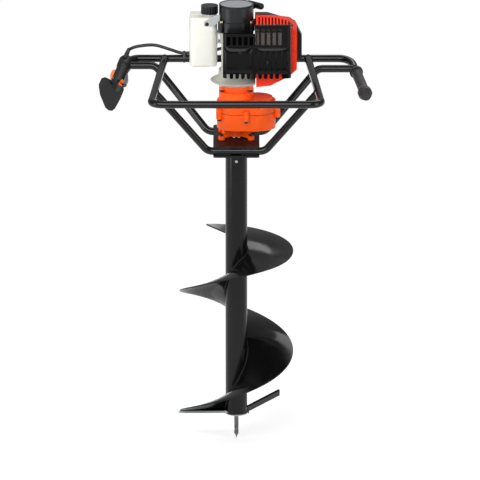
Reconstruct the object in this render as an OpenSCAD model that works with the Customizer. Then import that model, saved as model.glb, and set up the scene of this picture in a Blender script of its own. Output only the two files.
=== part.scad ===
// Petrol earth auger: engine, two-stage gearbox, tubular frame and auger bit.
// Millimetres, +Z up, X to the right, Y away from the operator's view.
// The origin is the tip of the pilot drill, on the bit's axis.

/* [Bit] */
// Outer diameter of the flight
flight_d = 312; // [250:1:360]
// Thickness of the flight
flight_t = 4; // [3:0.5:6]
// Climb of the flight in one turn
flight_pitch = 342; // [320:1:350]
// Turns of the flight
flight_turns = 1.84; // [1.3:0.01:1.9]
// How much less the top of the flight climbs in one turn
flight_flatten = 230; // [180:1:250]
// Outer diameter of the bit tube
bit_tube_d = 60; // [50:1:76]
// Wall of the bit tube
bit_tube_wall = 4; // [3:0.5:6]
// Height of the bit's top above the pilot tip
bit_h = 824; // [780:1:900]
// Depth of the shaft socket in the bit's top
socket_depth = 60; // [50:1:90]
// Diameter of the lock pin
lock_pin_d = 8; // [6:0.5:10]
// Diameter of the pilot drill
pilot_d = 12; // [8:0.5:16]
// Height of the bit tube's foot above the pilot tip
pilot_h = 72; // [60:1:90]
// Thickness of a blade
blade_t = 6; // [4:0.5:10]
// Width of a blade
blade_w = 38; // [25:1:45]
// Length of the right blade
blade_right_len = 118; // [80:1:140]

/* [Frame] */
// Diameter of the frame tube
tube_d = 21; // [19:0.5:24]
// Wall of the frame tube
tube_wall = 2; // [1.5:0.25:3]
// Centreline radius of the tube bends
bend_r = 42; // [34:1:50]
// Distance between the front bar and the back bar
frame_depth = 470; // [440:1:500]
// Width of the front loop at the front
front_w = 464; // [440:1:500]
// Width of the front loop where it meets the back bar
back_w = 394; // [370:1:420]
// Height of the front bar over the deck
front_rise = 150; // [135:1:170]
// Height of the back bar over the deck
back_rise = 157; // [140:1:175]
// Corner of the back bar on the handle side
back_left = 300; // [288:1:310]
// Corner of the back bar on the grip side
back_right = 314; // [300:1:330]
// Width of the deck plates
plate_w = 126; // [118:1:140]
// Length of the deck plates
plate_l = 236; // [220:1:260]
// Thickness of the deck plates
plate_t = 5; // [4:0.5:8]
// Distance of a cradle from the bit's axis
cradle_y = 104; // [98:1:108]
// Width of the rear cradle where it bends out to the arms
cradle_top_w = 446; // [440:1:460]

/* [Grip and throttle handle] */
// Distance of the right grip from the back bar's corner
grip_from = 68; // [62:1:80]
// Length of the right grip
grip_l = 132; // [115:1:150]
// Diameter of the right grip
grip_d = 29; // [27:0.5:32]
// Diameter of the right grip's end bulb
grip_bulb_d = 39; // [35:1:44]
// Distance of the throttle handle from the back bar's corner
handle_from = 50; // [48:1:60]
// Length of the throttle handle
handle_l = 152; // [146:1:165]
// Diameter of the throttle handle
handle_d = 35; // [33:0.5:40]
// Diameter of the throttle handle's flared end
handle_flare_d = 64; // [54:1:70]
// Wall of the throttle handle
handle_wall = 3; // [2.5:0.5:4]
// Length of tube held in the throttle handle
handle_hold = 14; // [12:1:18]
// Width of the trigger and of the lock lever
lever_w = 10; // [8:0.5:12]
// Diameter of the throttle cable's sleeve
cable_d = 9; // [8:0.5:10]

/* [Gearbox] */
// Module of the gear teeth
gear_m = 1.5; // [1.4:0.05:1.6]
// Teeth of a pinion
pinion_z = 12; // [12:1:13]
// Teeth of a wheel
wheel_z = 60; // [58:1:62]
// Face width of a wheel
wheel_face = 18; // [14:1:20]
// Diameter of the output shaft
shaft_d = 20; // [18:1:24]
// Diameter of the layshaft and of the input shaft
small_shaft_d = 12; // [10:1:13]
// Wall of the gear case
case_wall = 5; // [4:0.5:7]
// Height of the feet under the case floor
foot_h = 26; // [22:1:34]
// Height of the lower case, from its floor to the split
lower_h = 45; // [43:1:52]
// Height of the upper case, from the split to its roof
upper_h = 58; // [54:1:70]
// Height of the collar under the engine
collar_h = 18; // [16:1:24]
// Diameter of the collar's bolt circle
collar_pcd = 96; // [94:1:100]
// Diameter of the bolts
bolt_d = 6; // [5:0.5:7]

/* [Engine] */
// Height of the fan housing
fan_h = 42; // [40:1:48]
// Diameter of the fan housing's lip
fan_lip_d = 142; // [138:1:150]
// Height of the crankcase
crankcase_h = 110; // [106:1:122]
// Width of the crankcase
crankcase_w = 82; // [78:1:88]
// Bore of the cylinder
bore_d = 44; // [40:0.5:46]
// Stroke of the piston
stroke = 34; // [30:0.5:34]
// Diameter of the crankshaft
crank_d = 15; // [12:0.5:18]
// Right side of the cooling shroud
shroud_x = 165; // [160:1:175]
// Height of the cooling shroud
shroud_h = 190; // [184:1:198]
// Wall of the shroud and of the covers
cover_wall = 2.5; // [2:0.25:3.5]
// Left side of the muffler guard, from the crank axis
guard_left = 37; // [30:1:44]
// Right side of the muffler guard, from the crank axis
guard_right = 149; // [144:1:154]
// Depth of the muffler guard
guard_depth = 37; // [32:1:45]
// Pitch of the guard's slots
guard_pitch = 15.5; // [14:0.5:18]
// Right side of the air cleaner cover
cleaner_x = 179; // [172:1:186]
// Depth of the air cleaner cover
cleaner_depth = 32; // [26:1:40]
// Diameter of the recoil drum
drum_d = 94; // [90:1:98]
// Height of the recoil starter
starter_h = 72; // [68:1:80]
// Diameter of the starter pulley
pulley_d = 64; // [56:1:70]
// Diameter of the starter rope
rope_d = 4; // [3:0.5:5]
// Length of the starter handle
pull_l = 64; // [50:1:76]
// Width of the fuel tank
tank_w = 74; // [64:1:80]
// Depth of the fuel tank
tank_depth = 86; // [70:1:96]
// Height of the fuel tank
tank_h = 138; // [120:1:142]
// Diameter of the fuel cap
cap_d = 47; // [44:1:50]
// Height of the fuel cap
cap_h = 22; // [18:1:26]

/* [Hidden] */
$fn = 64;
eps = 1;
seat = 0.05;
run_fit = 0.04;
play = 0.4;
running_gap = 1.5;
backlash = 0.3;
pressure_angle = 25;

// Heights, from the pilot tip up
plate_gap = 4.5;
lower_plate_z = bit_h + plate_gap;
tube_z = lower_plate_z + plate_t + seat + tube_d / 2;
top_plate_z = tube_z + tube_d / 2 + seat;
deck_z = top_plate_z + plate_t;
case_z = deck_z + foot_h;
floor_t = 12;
split_z = case_z + lower_h;
roof_t = 14;
roof_z = split_z + upper_h - roof_t;
lobe_drop = 18;
lay_roof_z = roof_z - lobe_drop;
collar_z = split_z + upper_h;
engine_z = collar_z + collar_h;
crankcase_z = engine_z + fan_h;
cyl_z = crankcase_z + 60;
starter_z = crankcase_z + crankcase_h;
starter_top = starter_z + starter_h;

// Frame corners
front_y = -frame_depth / 2;
back_y = frame_depth / 2;
front_z = deck_z + front_rise;
back_z = deck_z + back_rise;
grip_dir = unit([0.226, -1, -0.323]);
handle_dir = unit([-0.24, -1, -0.35]);
grip_corner = [back_right, back_y, back_z];
handle_corner = [-back_left, back_y, back_z];
grip_at = grip_corner + grip_from * grip_dir;
handle_at = handle_corner + handle_from * handle_dir;
cradle_x = plate_w / 2 + 0.36 * bend_r;
handle_in = unit([1, 0, 0] - handle_dir[0] * handle_dir);
handle_up = cross(handle_dir, handle_in);
arm_left = handle_corner + (handle_from - 4 - tube_d / 2) * handle_dir;
arm_right = grip_corner + (grip_from - 4 - tube_d / 2) * grip_dir;

// Gears
centre = gear_m * (pinion_z + wheel_z) / 2;
wheel_r = gear_m * (wheel_z / 2 + 1);
case_in_r = wheel_r + running_gap;
case_r = case_in_r + case_wall;
bearing_wall = 9;
bearing_h = 12;
boss_z = deck_z + 3;
out_wheel_z = case_z + floor_t + 2;
lay_wheel_z = out_wheel_z + wheel_face + 5;
head_d = bolt_d * 1.7;
lug_r = case_r + head_d / 2 + 1;
case_lugs = [lug_r * [cos(217), sin(217)], [centre / 2, -lug_r],
    [centre, 0] + lug_r * [cos(-12), sin(-12)], [centre / 2, lug_r], lug_r * [cos(143), sin(143)]];
lug_h = 14;
foot_r = 57;
foot_angles = [45, 135, 225, 315];
collar_angles = [35, 145, 215, 325];
flange_t = 9;

// Engine
drum_r = 39;
drum_z = engine_z - 3;
wheel_plate_z = engine_z + 16;
cylinder_x = crankcase_w / 2;
head_x = cylinder_x + 69;
head_end = head_x + 12;
shroud_x0 = cylinder_x + 13;
shroud_y = 50;
shroud_back = 46;
shroud_z = engine_z + 3;
fin_y = shroud_back - cover_wall - 0.3;
port_x = cylinder_x + 36;
port_d = 30;
guard_back = -shroud_y - 0.3;
guard_front = -shroud_y - guard_depth;
guard_z = engine_z + 37;
guard_step_z = engine_z + 162;
guard_top_z = engine_z + 186;
carb_y = shroud_back + 6;
carb_depth = 26;
carb_half = 20;
cleaner_y = carb_y + carb_depth;
cleaner_z = engine_z + 20;
cleaner_h = 155;
base_t = 4;
tank_x = -crankcase_w / 2 - 12;
tank_wall = 2.5;
tank_r = 16;
tank_edge = 8;
tank_z = crankcase_z + 10;
tank_y = 20;
neck_d = 36;
neck_h = 16;
cap_z = tank_z + tank_h + 4;
cap_x = tank_x - neck_d / 2 - 2;
flange_h = 28;
pull_dir = [cos(20) * cos(45), cos(20) * sin(45), sin(20)];
outlet = [drum_d / 2 * cos(45), drum_d / 2 * sin(45), starter_top - 24];
pulley_z = starter_top - 36;
pulley_h = 16;
post_r = 6;

// Throttle handle, along its own axis
trigger_z = handle_hold + 14;
trigger_l = 58;
trigger_u = handle_d / 2 - 7;
lock_z = handle_hold + 56;
lock_l = 54;
lock_u = -handle_d / 2 + 7;
pivot_d = 4;
pivot_l = 26;
heel_z = handle_hold + 102;
pad_z = heel_z + 2;
pad_turn = -45;
pad_l = 34;
pad_v = handle_d / 2 + 2;
knuckle_l = 44;
knuckle_r = handle_d / 2 + 2.5;

// Throttle cable's route, by hand between its ends at the handle and at the carburettor
cable_v = tube_d / 2 + cable_d / 2 + 2.5;
cable_from = handle_at + cable_v * handle_up - (knuckle_l + 2 + seat) * handle_dir;
cable_to = [port_x - carb_half - seat, carb_y + carb_depth / 2, cyl_z + 4];
cable_lie = tube_d / 2 + cable_d / 2 + 0.8;
function cable_arch(x, y, z) = handle_corner + [x, y, z];
cable_route = [cable_from, cable_from - 20 * handle_dir, cable_arch(28, 16, 30),
    cable_arch(74, 8, 36), cable_arch(116, 1, 26), cable_arch(146, 0, cable_lie + 0.6),
    cable_arch(172, 0, cable_lie), cable_arch(203, -13, 20.4), cable_to + [-102, 110, -53],
    cable_to + [-57, 53, -21], cable_to - [18, 0, 0], cable_to];
tie_x = 159 - back_left;

// Vectors
function unit(v) = v / norm(v);
function helper(n) = abs(n[2]) < 0.9 ? [0, 0, 1] : [1, 0, 0];
function side(n) = unit(cross(helper(n), n));

// Places children with X, Y and Z along three axes from a point
module axes(p, x, y, z) {
    multmatrix([[x[0], y[0], z[0], p[0]], [x[1], y[1], z[1], p[1]],
        [x[2], y[2], z[2], p[2]], [0, 0, 0, 1]])
        children();
}

// Places children with Z along a direction from a point
module along(p, n) {
    axes(p, side(n), cross(n, side(n)), n) children();
}

// Places children in the throttle handle's frame: X inward, Y up, Z down the handle
module in_handle() {
    axes(handle_at, handle_in, handle_up, handle_dir) children();
}

// Places children with Z along +X or along +Y
module along_x(p) {
    translate(p) rotate([0, 90, 0]) children();
}

module along_y(p) {
    translate(p) rotate([-90, 0, 0]) children();
}

// Flat shapes
module ring2d(d, wall) {
    difference() {
        circle(d = d);
        circle(d = d - 2 * wall);
    }
}

module rounded(x0, x1, y0, y1, r) {
    translate([x0 + r, y0]) square([x1 - x0 - 2 * r, y1 - y0]);
    translate([x0, y0 + r]) square([x1 - x0, y1 - y0 - 2 * r]);
    for (x = [x0 + r, x1 - r], y = [y0 + r, y1 - r])
        translate([x, y]) circle(r);
}

// Two circles in line along X and the band that joins them, a little inside their common tangents
module lobe(r1, r2, d) {
    t = acos((r1 - r2) / d);
    b1 = r1 - seat;
    b2 = r2 - seat;
    circle(r1);
    translate([d, 0]) circle(r2);
    polygon([b1 * [cos(t), sin(t)], b1 * [cos(t), -sin(t)],
        [d, 0] + b2 * [cos(t), -sin(t)], [d, 0] + b2 * [cos(t), sin(t)]]);
}

// Solid shapes
module ring(d, wall, h) {
    linear_extrude(h) ring2d(d, wall);
}

module rod(a, b, d) {
    along(a, unit(b - a)) cylinder(d = d, h = norm(b - a));
}

// Angle of the bend at p on the way from a to b, and the length it takes from each run
function bend_angle(a, p, b) = acos(unit(p - a) * unit(b - p));
function bend_cut(a, p, b, r) = r * tan(bend_angle(a, p, b) / 2);

// Round bar with round ends, along Z
module capsule(l, r) {
    rotate_extrude() intersection() {
        union() {
            translate([-r, r]) square([2 * r, l - 2 * r]);
            for (y = [r, l - r]) translate([0, y]) circle(r);
        }
        square([r + eps, l]);
    }
}

// Rod of diameter d from point i on, along Z, where x is this frame's X axis; each run carries the bend
// after it. A bend is a little fatter than a run, and over is how far the free ends reach out
module path_from(p, i, x, r, d, over) {
    last = len(p) - 1;
    lap = 1;
    swell = 0.2;
    u = unit(p[i + 1] - p[i]);
    cut_in = i == 0 ? 0 : bend_cut(p[i - 1], p[i], p[i + 1], r);
    cut_out = i + 1 == last ? 0 : bend_cut(p[i], p[i + 1], p[i + 2], r);
    l = norm(p[i + 1] - p[i]) - cut_in - cut_out;
    start = i == 0 ? over : lap;
    end = i + 1 == last ? over : lap;
    translate([0, 0, -start]) cylinder(d = d, h = l + start + end);
    if (i + 1 < last) {
        v = unit(p[i + 2] - p[i + 1]);
        n = unit(v - u * (u * v));
        a = bend_angle(p[i], p[i + 1], p[i + 2]);
        rotate([0, 0, atan2(n * cross(u, x), n * x)]) translate([0, 0, l]) {
            axes([r, 0, 0], [-1, 0, 0], [0, 0, 1], [0, 1, 0])
                rotate_extrude(angle = a) translate([r, 0]) circle(d = d + swell);
            translate([r, 0, 0]) rotate([0, a, 0]) translate([-r, 0, 0])
                path_from(p, i + 1, unit(cos(a) * n - sin(a) * u), r, d, over);
        }
    }
}

// Rod through points, bent at each corner between the ends
module bent_rod(p, r, d, over) {
    u = unit(p[1] - p[0]);
    along(p[0], u) path_from(p, 0, side(u), r, d, over);
}

module bent_tube(p, r) {
    difference() {
        bent_rod(p, r, tube_d, 0);
        bent_rod(p, r, tube_d - 2 * tube_wall, eps);
    }
}

// Socket-head bolt, head up, seated at the origin
module bolt(d, l, head) {
    head_h = d * 0.9;
    translate([0, 0, -l]) cylinder(d = d, h = l + head_h / 2);
    difference() {
        cylinder(d = head, h = head_h);
        translate([0, 0, head_h / 2]) cylinder(d = head / 2, h = head_h, $fn = 6);
    }
}

module at_angles(angles, r) {
    for (a = angles)
        translate(r * [cos(a), sin(a), 0]) children();
}

// Involute gear teeth
function involute(a) = tan(a) * 180 / PI - a;
function half_tooth(z, r) = let (p = gear_m * z / 2, base = p * cos(pressure_angle))
    90 / z - backlash / 4 / p * 180 / PI + involute(pressure_angle) - involute(acos(base / max(r, base)));
function gear_points(z) = let (
    base = gear_m * z / 2 * cos(pressure_angle),
    root = gear_m * (z / 2 - 1.25),
    tip = gear_m * (z / 2 + 1),
    from = max(base, root),
    radii = [root, for (k = [0:3]) from + (tip - from) * k / 3])
    [for (i = [0:z - 1]) each concat(
        [for (r = radii) let (a = 360 * i / z - half_tooth(z, max(r, from))) r * [cos(a), sin(a)]],
        [for (k = [len(radii) - 1:-1:0]) let (r = radii[k],
            a = 360 * i / z + half_tooth(z, max(r, from))) r * [cos(a), sin(a)]])];

module gear(z, h) {
    linear_extrude(h) polygon(gear_points(z));
}

// Frame
front_left = [-front_w / 2, front_y, front_z];
front_right = [front_w / 2, front_y, front_z];
side_left = [-back_w / 2, back_y, back_z];
side_right = [back_w / 2, back_y, back_z];
function on_side(k, s) = let (a = s < 0 ? front_left : front_right,
    b = s < 0 ? side_left : side_right) a + k * (b - a);
cradle_hang = 0.27;

module front_loop() {
    color("#17181a") difference() {
        bent_tube([side_left, front_left, front_right, side_right], bend_r * 0.7);
        rod(side_left - [60, 0, 0], side_left + [60, 0, 0], tube_d + 2 * seat);
        rod(side_right - [60, 0, 0], side_right + [60, 0, 0], tube_d + 2 * seat);
    }
}

back_path = [handle_at + handle_hold * handle_dir, handle_corner, grip_corner,
    grip_at + (grip_l - 12) * grip_dir];

module back_bar() {
    color("#17181a") bent_tube(back_path, bend_r);
}

module front_cradle() {
    left = on_side(cradle_hang, -1);
    right = on_side(cradle_hang, 1);
    low = [cradle_x, -cradle_y, tube_z];
    color("#17181a") difference() {
        bent_tube([left, [-low[0], low[1], low[2]], low, right], bend_r * 0.7);
        rod(on_side(0.1, -1), on_side(0.5, -1), tube_d + 2 * seat);
        rod(on_side(0.1, 1), on_side(0.5, 1), tube_d + 2 * seat);
    }
}

module rear_cradle() {
    low = [cradle_x, cradle_y, tube_z];
    bend_left = [-cradle_top_w / 2, arm_left[1], arm_left[2]];
    bend_right = [cradle_top_w / 2, arm_right[1], arm_right[2]];
    color("#17181a") difference() {
        bent_tube([arm_left, bend_left, [-low[0], low[1], low[2]], low, bend_right, arm_right],
            bend_r * 0.7);
        bent_rod(back_path, bend_r, tube_d + 2 * seat, 0);
    }
}

module deck(hole) {
    difference() {
        linear_extrude(plate_t) rounded(-plate_w / 2, plate_w / 2, -plate_l / 2, plate_l / 2, 8);
        translate([0, 0, -eps]) cylinder(d = hole, h = plate_t + 2 * eps);
        at_angles(foot_angles, foot_r)
            translate([0, 0, -eps]) cylinder(d = bolt_d + 2 * seat, h = plate_t + 2 * eps);
    }
}

module top_plate() {
    color("#202124") translate([0, 0, top_plate_z]) deck(shaft_d + 26);
}

module lower_plate() {
    color("#202124") translate([0, 0, lower_plate_z]) deck(shaft_d + 10);
}

module grip_right() {
    r = grip_d / 2;
    bulb = grip_bulb_d / 2;
    neck = grip_l - 40;
    color("#2b2628") along(grip_at, grip_dir) difference() {
        union() {
            cylinder(r = r + 4, h = 7);
            cylinder(r = r, h = neck + 1);
            translate([0, 0, neck]) cylinder(r1 = r, r2 = bulb, h = 14);
            translate([0, 0, neck + 14]) cylinder(r = bulb, h = 12);
            translate([0, 0, neck + 26]) cylinder(r1 = bulb, r2 = bulb - 7, h = 14);
        }
        translate([0, 0, -eps]) cylinder(d = tube_d + 2 * seat, h = grip_l - 12 + eps + seat);
    }
}

// The space on one side of the plane that parts the throttle handle
module handle_side(side) {
    translate([-handle_l, side > 0 ? 0 : -2 * handle_l, -handle_l]) cube([2, 2, 3] * handle_l);
}

// Half of the throttle handle's shell about its axis, on one side of v; its knuckle covers the bar's bend
module handle_half(side) {
    r = handle_d / 2;
    inside = r - handle_wall;
    rotate([0, 0, side > 0 ? 0 : 180]) rotate_extrude(angle = 180) polygon([
        [0, -knuckle_l], [knuckle_r - 8, -knuckle_l], [knuckle_r - 2, -knuckle_l + 3],
        [knuckle_r, -knuckle_l + 9], [knuckle_r, -6], [r, 6], [r, heel_z + 4], [0, heel_z + 4],
        [0, heel_z - 2], [inside, heel_z - 2], [inside, handle_hold + 4],
        [tube_d / 2 - 2, handle_hold + 1], [0, handle_hold + 1]]);
    intersection() {
        heel();
        handle_side(side);
    }
}

// Broad end of the handle, which keeps the hand from sliding off: a shield that flares out of the handle
module heel() {
    s = handle_flare_d / 64;
    reach = 70 * s;
    intersection() {
        translate([0, 0, heel_z - 2]) linear_extrude(handle_l - heel_z + 3) polygon(s * [
            [-33, 40], [-28, 52], [-18, 57], [-8, 50], [6, 37], [15, 29], [24, 25], [33, 19],
            [27, 0], [13, -31], [5, -40], [-4, -40], [-14, -33], [-29, 8]]);
        rotate_extrude() polygon([
            [0, heel_z - 2], [handle_d / 2 - 1, heel_z - 2], [reach, heel_z + 24], [reach, handle_l - 8],
            [reach - 26, handle_l], [0, handle_l]]);
    }
}

// Slots and pivot holes for the trigger and the lock lever
module handle_cuts() {
    half = lever_w / 2 + play;
    translate([0, -half, trigger_z - 8]) cube([handle_d, 2 * half, trigger_l + 14]);
    translate([-handle_d, -half, lock_z - lock_l - 6]) cube([handle_d, 2 * half, lock_l + 14]);
    for (p = [[trigger_u, trigger_z], [lock_u, lock_z]])
        along_y([p[0], -handle_d / 2, p[1]]) cylinder(d = pivot_d + 2 * run_fit, h = handle_d);
}

// The back bar and the cradle's arm, where they run through the knuckle
module knuckle_tubes() {
    bent_rod(back_path, bend_r, tube_d + 2 * seat, 2);
    rod(arm_left, arm_left + [3 * knuckle_r, 0, 0], tube_d + 3 * seat);
}

module handle_front() {
    color("#2f2e2c") difference() {
        in_handle() front_shell();
        knuckle_tubes();
    }
}

// Flat pad on the handle for the stop switch and the knob
module switch_pad() {
    rotate([0, 0, pad_turn]) difference() {
        translate([-11, 0, pad_z - pad_l]) cube([22, pad_v, pad_l]);
        translate([0, 0, pad_z - pad_l - eps])
            cylinder(d = handle_d - 2 * handle_wall + 1, h = pad_l + 2 * eps);
    }
}

module front_shell() {
    difference() {
        union() {
            handle_half(1);
            translate([0, cable_v, -knuckle_l - 2]) cylinder(d = cable_d + 4, h = 26);
            intersection() {
                switch_pad();
                handle_side(1);
            }
        }
        handle_cuts();
        rotate([0, 0, pad_turn]) {
            switch_slot();
            knob_hole();
        }
        screw_holes();
        for (p = screw_spots)
            along_y([p[0], p[2], p[1]]) cylinder(d = screw_d * 1.8 + 2 * play, h = 60);
    }
}

module handle_back() {
    color("#2f2e2c") difference() {
        in_handle() difference() {
            handle_half(-1);
            handle_cuts();
            screw_holes();
        }
        knuckle_tubes();
    }
}

screw_spots = [[0, 7, handle_d / 2 - 2], [0, handle_l - 14, 22]];
screw_d = 4;

module screw_holes() {
    for (p = screw_spots)
        along_y([p[0], -60, p[1]]) cylinder(d = screw_d + 2 * seat, h = 120);
}

module handle_screws() {
    color("#8e8f92") in_handle() for (p = screw_spots) {
        start = p[1] < handle_hold ? tube_d / 2 + 0.5 : -p[2];
        along_y([p[0], start, p[1]]) cylinder(d = screw_d, h = p[2] - start + 1);
        along_y([p[0], p[2] + seat, p[1]]) cylinder(d = screw_d * 1.8, h = 2.4);
    }
}

// Trigger and lock lever: a bowed arm with its pivot pin
module lever(l, proud, depth) {
    along_y([0, -pivot_l / 2, 0]) cylinder(d = pivot_d, h = pivot_l);
    along_y([0, -lever_w / 2, 0]) linear_extrude(lever_w)
        polygon([[-depth, 4], [-depth, -l + 8], [proud - 7, -l], [proud, -l + 8],
            [proud, -l * 0.45], [proud - 6, -4], [4, 5]]);
}

module trigger() {
    color("#3a3a3c") in_handle() translate([trigger_u, 0, trigger_z]) lever(trigger_l, 17, 2);
}

module lock_lever() {
    color("#ff7a14") in_handle() translate([lock_u, 0, lock_z]) rotate([0, 180, 0]) lever(lock_l, 15, 2.5);
}

switch_z = pad_z - 10;
switch_travel = 6;
knob_z = pad_z - 29;

module switch_slot() {
    translate([-4 - play, handle_d / 2 - 8, switch_z - 4 - switch_travel - play])
        cube([8 + 2 * play, 20, 8 + switch_travel + 2 * play]);
}

module knob_hole() {
    along_y([0, handle_d / 2 - 8, knob_z]) cylinder(d = 7 + 2 * seat, h = 20);
}

module stop_switch() {
    color("#ff7a14") in_handle() rotate([0, 0, pad_turn]) {
        translate([-4, handle_d / 2 - 2, switch_z - 4]) cube([8, 8, 8]);
        translate([-6, pad_v + play, switch_z - 6]) cube([12, 6, 12]);
    }
}

module push_knob() {
    color("#ff7a14") in_handle() rotate([0, 0, pad_turn]) along_y([0, handle_d / 2 - 3, knob_z]) {
        cylinder(d = 7, h = 10);
        translate([0, 0, pad_v - handle_d / 2 + 3 + 4]) cylinder(d = 10, h = 5);
    }
}

// Sleeve swept along its route, a ring of eight corners at each point
cable_sides = 8;
cable_steps = 5;
function route_at(t) = let (i = min(floor(t), len(cable_route) - 2), k = t - i,
    a = cable_route[max(i - 1, 0)], b = cable_route[i], c = cable_route[i + 1],
    d = cable_route[min(i + 2, len(cable_route) - 1)])
    0.5 * (2 * b + (c - a) * k + (2 * a - 5 * b + 4 * c - d) * k * k + (3 * b - a - 3 * c + d) * k * k * k);
cable_points = [for (i = [0:cable_steps * (len(cable_route) - 1)]) route_at(i / cable_steps)];
cable_last = len(cable_points) - 1;
function cable_dir(i) = i == 0 ? unit(cable_route[1] - cable_route[0])
    : i == cable_last ? unit(cable_route[len(cable_route) - 1] - cable_route[len(cable_route) - 2])
    : unit(cable_points[i + 1] - cable_points[i - 1]);

module throttle_cable() {
    n = cable_sides;
    last = cable_last;
    rings = [for (i = [0:last]) let (u = cable_dir(i), s = side(u), w = cross(u, s)) for (k = [0:n - 1])
        cable_points[i] + cable_d / 2 * (cos(360 * k / n) * s + sin(360 * k / n) * w)];
    walls = [for (i = [0:last - 1], k = [0:n - 1]) let (j = (k + 1) % n)
        each [[i * n + k, i * n + n + j, i * n + j], [i * n + k, i * n + n + k, i * n + n + j]]];
    caps = [[for (k = [0:n - 1]) k], [for (k = [n - 1:-1:0]) last * n + k]];
    color("#151515") polyhedron(rings, concat(walls, caps));
}

module cable_tie() {
    tie_w = 5;
    spread = cable_lie;
    color("#101010") translate([tie_x, back_y, back_z]) rotate([0, -90, 0]) difference() {
        linear_extrude(tie_w) lobe(tube_d / 2 + 1.4, cable_d / 2 + play + 1.4, spread);
        translate([0, 0, -eps]) linear_extrude(tie_w + 2 * eps)
            lobe(tube_d / 2 + seat, cable_d / 2 + play, spread);
    }
}

// Gearbox
module case_lug_holes(z, h) {
    for (p = case_lugs)
        translate([p[0], p[1], z]) cylinder(d = bolt_d + 2 * seat, h = h);
}

module case_lug_bodies(h) {
    for (p = case_lugs)
        translate(p) cylinder(d = head_d + 6, h = h);
}

out_bearing_d = shaft_d + 2 * bearing_wall;
small_bearing_d = small_shaft_d + 2 * bearing_wall;

module case_lower() {
    color("#ff7410") difference() {
        union() {
            translate([0, 0, case_z]) linear_extrude(lower_h) lobe(case_r, case_r, centre);
            translate([0, 0, boss_z]) cylinder(d = out_bearing_d + 12, h = case_z - boss_z + 1);
            translate([0, 0, split_z - lug_h]) case_lug_bodies(lug_h);
            at_angles(foot_angles, foot_r) translate([0, 0, deck_z]) cylinder(d = head_d + 8, h = 10);
            for (a = foot_angles)
                translate([0, 0, deck_z]) rotate([0, 0, a]) translate([out_bearing_d / 2, -5, 3.5])
                    cube([foot_r - out_bearing_d / 2 - bolt_d, 10, foot_h]);
        }
        translate([0, 0, case_z + floor_t]) linear_extrude(lower_h) lobe(case_in_r, case_in_r, centre);
        translate([0, 0, boss_z - eps]) cylinder(d = out_bearing_d + 2 * seat, h = foot_h + floor_t + 2);
        translate([centre, 0, case_z + 3]) cylinder(d = small_bearing_d + 2 * seat, h = floor_t);
        case_lug_holes(split_z - lug_h - eps, lug_h + 2 * eps);
        at_angles(foot_angles, foot_r)
            translate([0, 0, deck_z - eps]) cylinder(d = bolt_d + 2 * seat, h = 10 + 2 * eps);
        at_angles(foot_angles, foot_r)
            translate([0, 0, deck_z + 10]) cylinder(d = head_d + 2, h = bolt_d + 1);
    }
}

module case_upper() {
    shoulder_h = upper_h * 0.55;
    color("#ff7410") difference() {
        union() {
            translate([0, 0, split_z]) linear_extrude(shoulder_h) lobe(case_r, case_r, centre);
            translate([0, 0, split_z]) linear_extrude(upper_h - lobe_drop)
                lobe(case_r - 5, case_r - 8, centre);
            translate([0, 0, split_z]) cylinder(r = case_r - 5.5, h = upper_h);
            translate([0, 0, split_z]) case_lug_bodies(lug_h);
            translate([0, 0, collar_z]) cylinder(d = collar_pcd - head_d - 4, h = collar_h);
            translate([0, 0, engine_z - flange_t]) cylinder(d = collar_pcd - 2, h = flange_t);
            translate([0, 0, engine_z - flange_t])
                at_angles(collar_angles, collar_pcd / 2) cylinder(d = head_d + 5, h = flange_t);
        }
        translate([0, 0, split_z - eps])
            linear_extrude(shoulder_h - case_wall + eps) lobe(case_in_r, case_in_r, centre);
        translate([0, 0, split_z - eps])
            linear_extrude(upper_h - lobe_drop - roof_t + eps) lobe(case_in_r - 5, case_in_r - 8, centre);
        translate([0, 0, split_z - eps]) cylinder(r = case_in_r - 5.5, h = upper_h - roof_t + eps);
        translate([0, 0, roof_z - eps]) cylinder(d = small_bearing_d + 2 * seat, h = roof_t + collar_h);
        translate([centre, 0, lay_roof_z - eps])
            cylinder(d = small_bearing_d + 2 * seat, h = bearing_h - 3 + eps);
        translate([0, 0, drum_z - 2]) cylinder(r = drum_r + running_gap, h = collar_h);
        case_lug_holes(split_z - eps, lug_h - 3);
        translate([0, 0, engine_z - flange_t - eps]) at_angles(collar_angles, collar_pcd / 2)
            cylinder(d = bolt_d + 2 * seat, h = flange_t + 2 * eps);
    }
}

module case_bolts() {
    color("#26282a") for (p = case_lugs)
        translate([p[0], p[1], split_z - lug_h]) mirror([0, 0, 1]) bolt(bolt_d, lug_h + 8, head_d);
}

module foot_bolts() {
    color("#26282a") at_angles(foot_angles, foot_r)
        translate([0, 0, deck_z + 10]) bolt(bolt_d, 10 + deck_z - lower_plate_z, head_d);
}

module collar_bolts() {
    color("#26282a") at_angles(collar_angles, collar_pcd / 2)
        translate([0, 0, engine_z - flange_t]) mirror([0, 0, 1]) bolt(bolt_d, flange_t + 6, head_d);
}

// A ball bearing as a plain ring between its shaft and its seat
module bearing(d, h) {
    ring(d + 2 * bearing_wall, bearing_wall - run_fit, h);
}

module bearings() {
    color("#b8bcc0") {
        for (z = [boss_z + 3, case_z + floor_t - bearing_h - 1])
            translate([0, 0, z]) bearing(shaft_d, bearing_h);
        for (z = [case_z + 3, lay_roof_z])
            translate([centre, 0, z]) bearing(small_shaft_d, bearing_h - 3);
        for (z = [roof_z + 0.5, roof_z + bearing_h + 1.5])
            translate([0, 0, z]) bearing(small_shaft_d, bearing_h);
        for (z = [crankcase_z + 4, starter_z - bearing_h - 4])
            translate([0, 0, z]) bearing(crank_d, bearing_h);
    }
}

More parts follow.
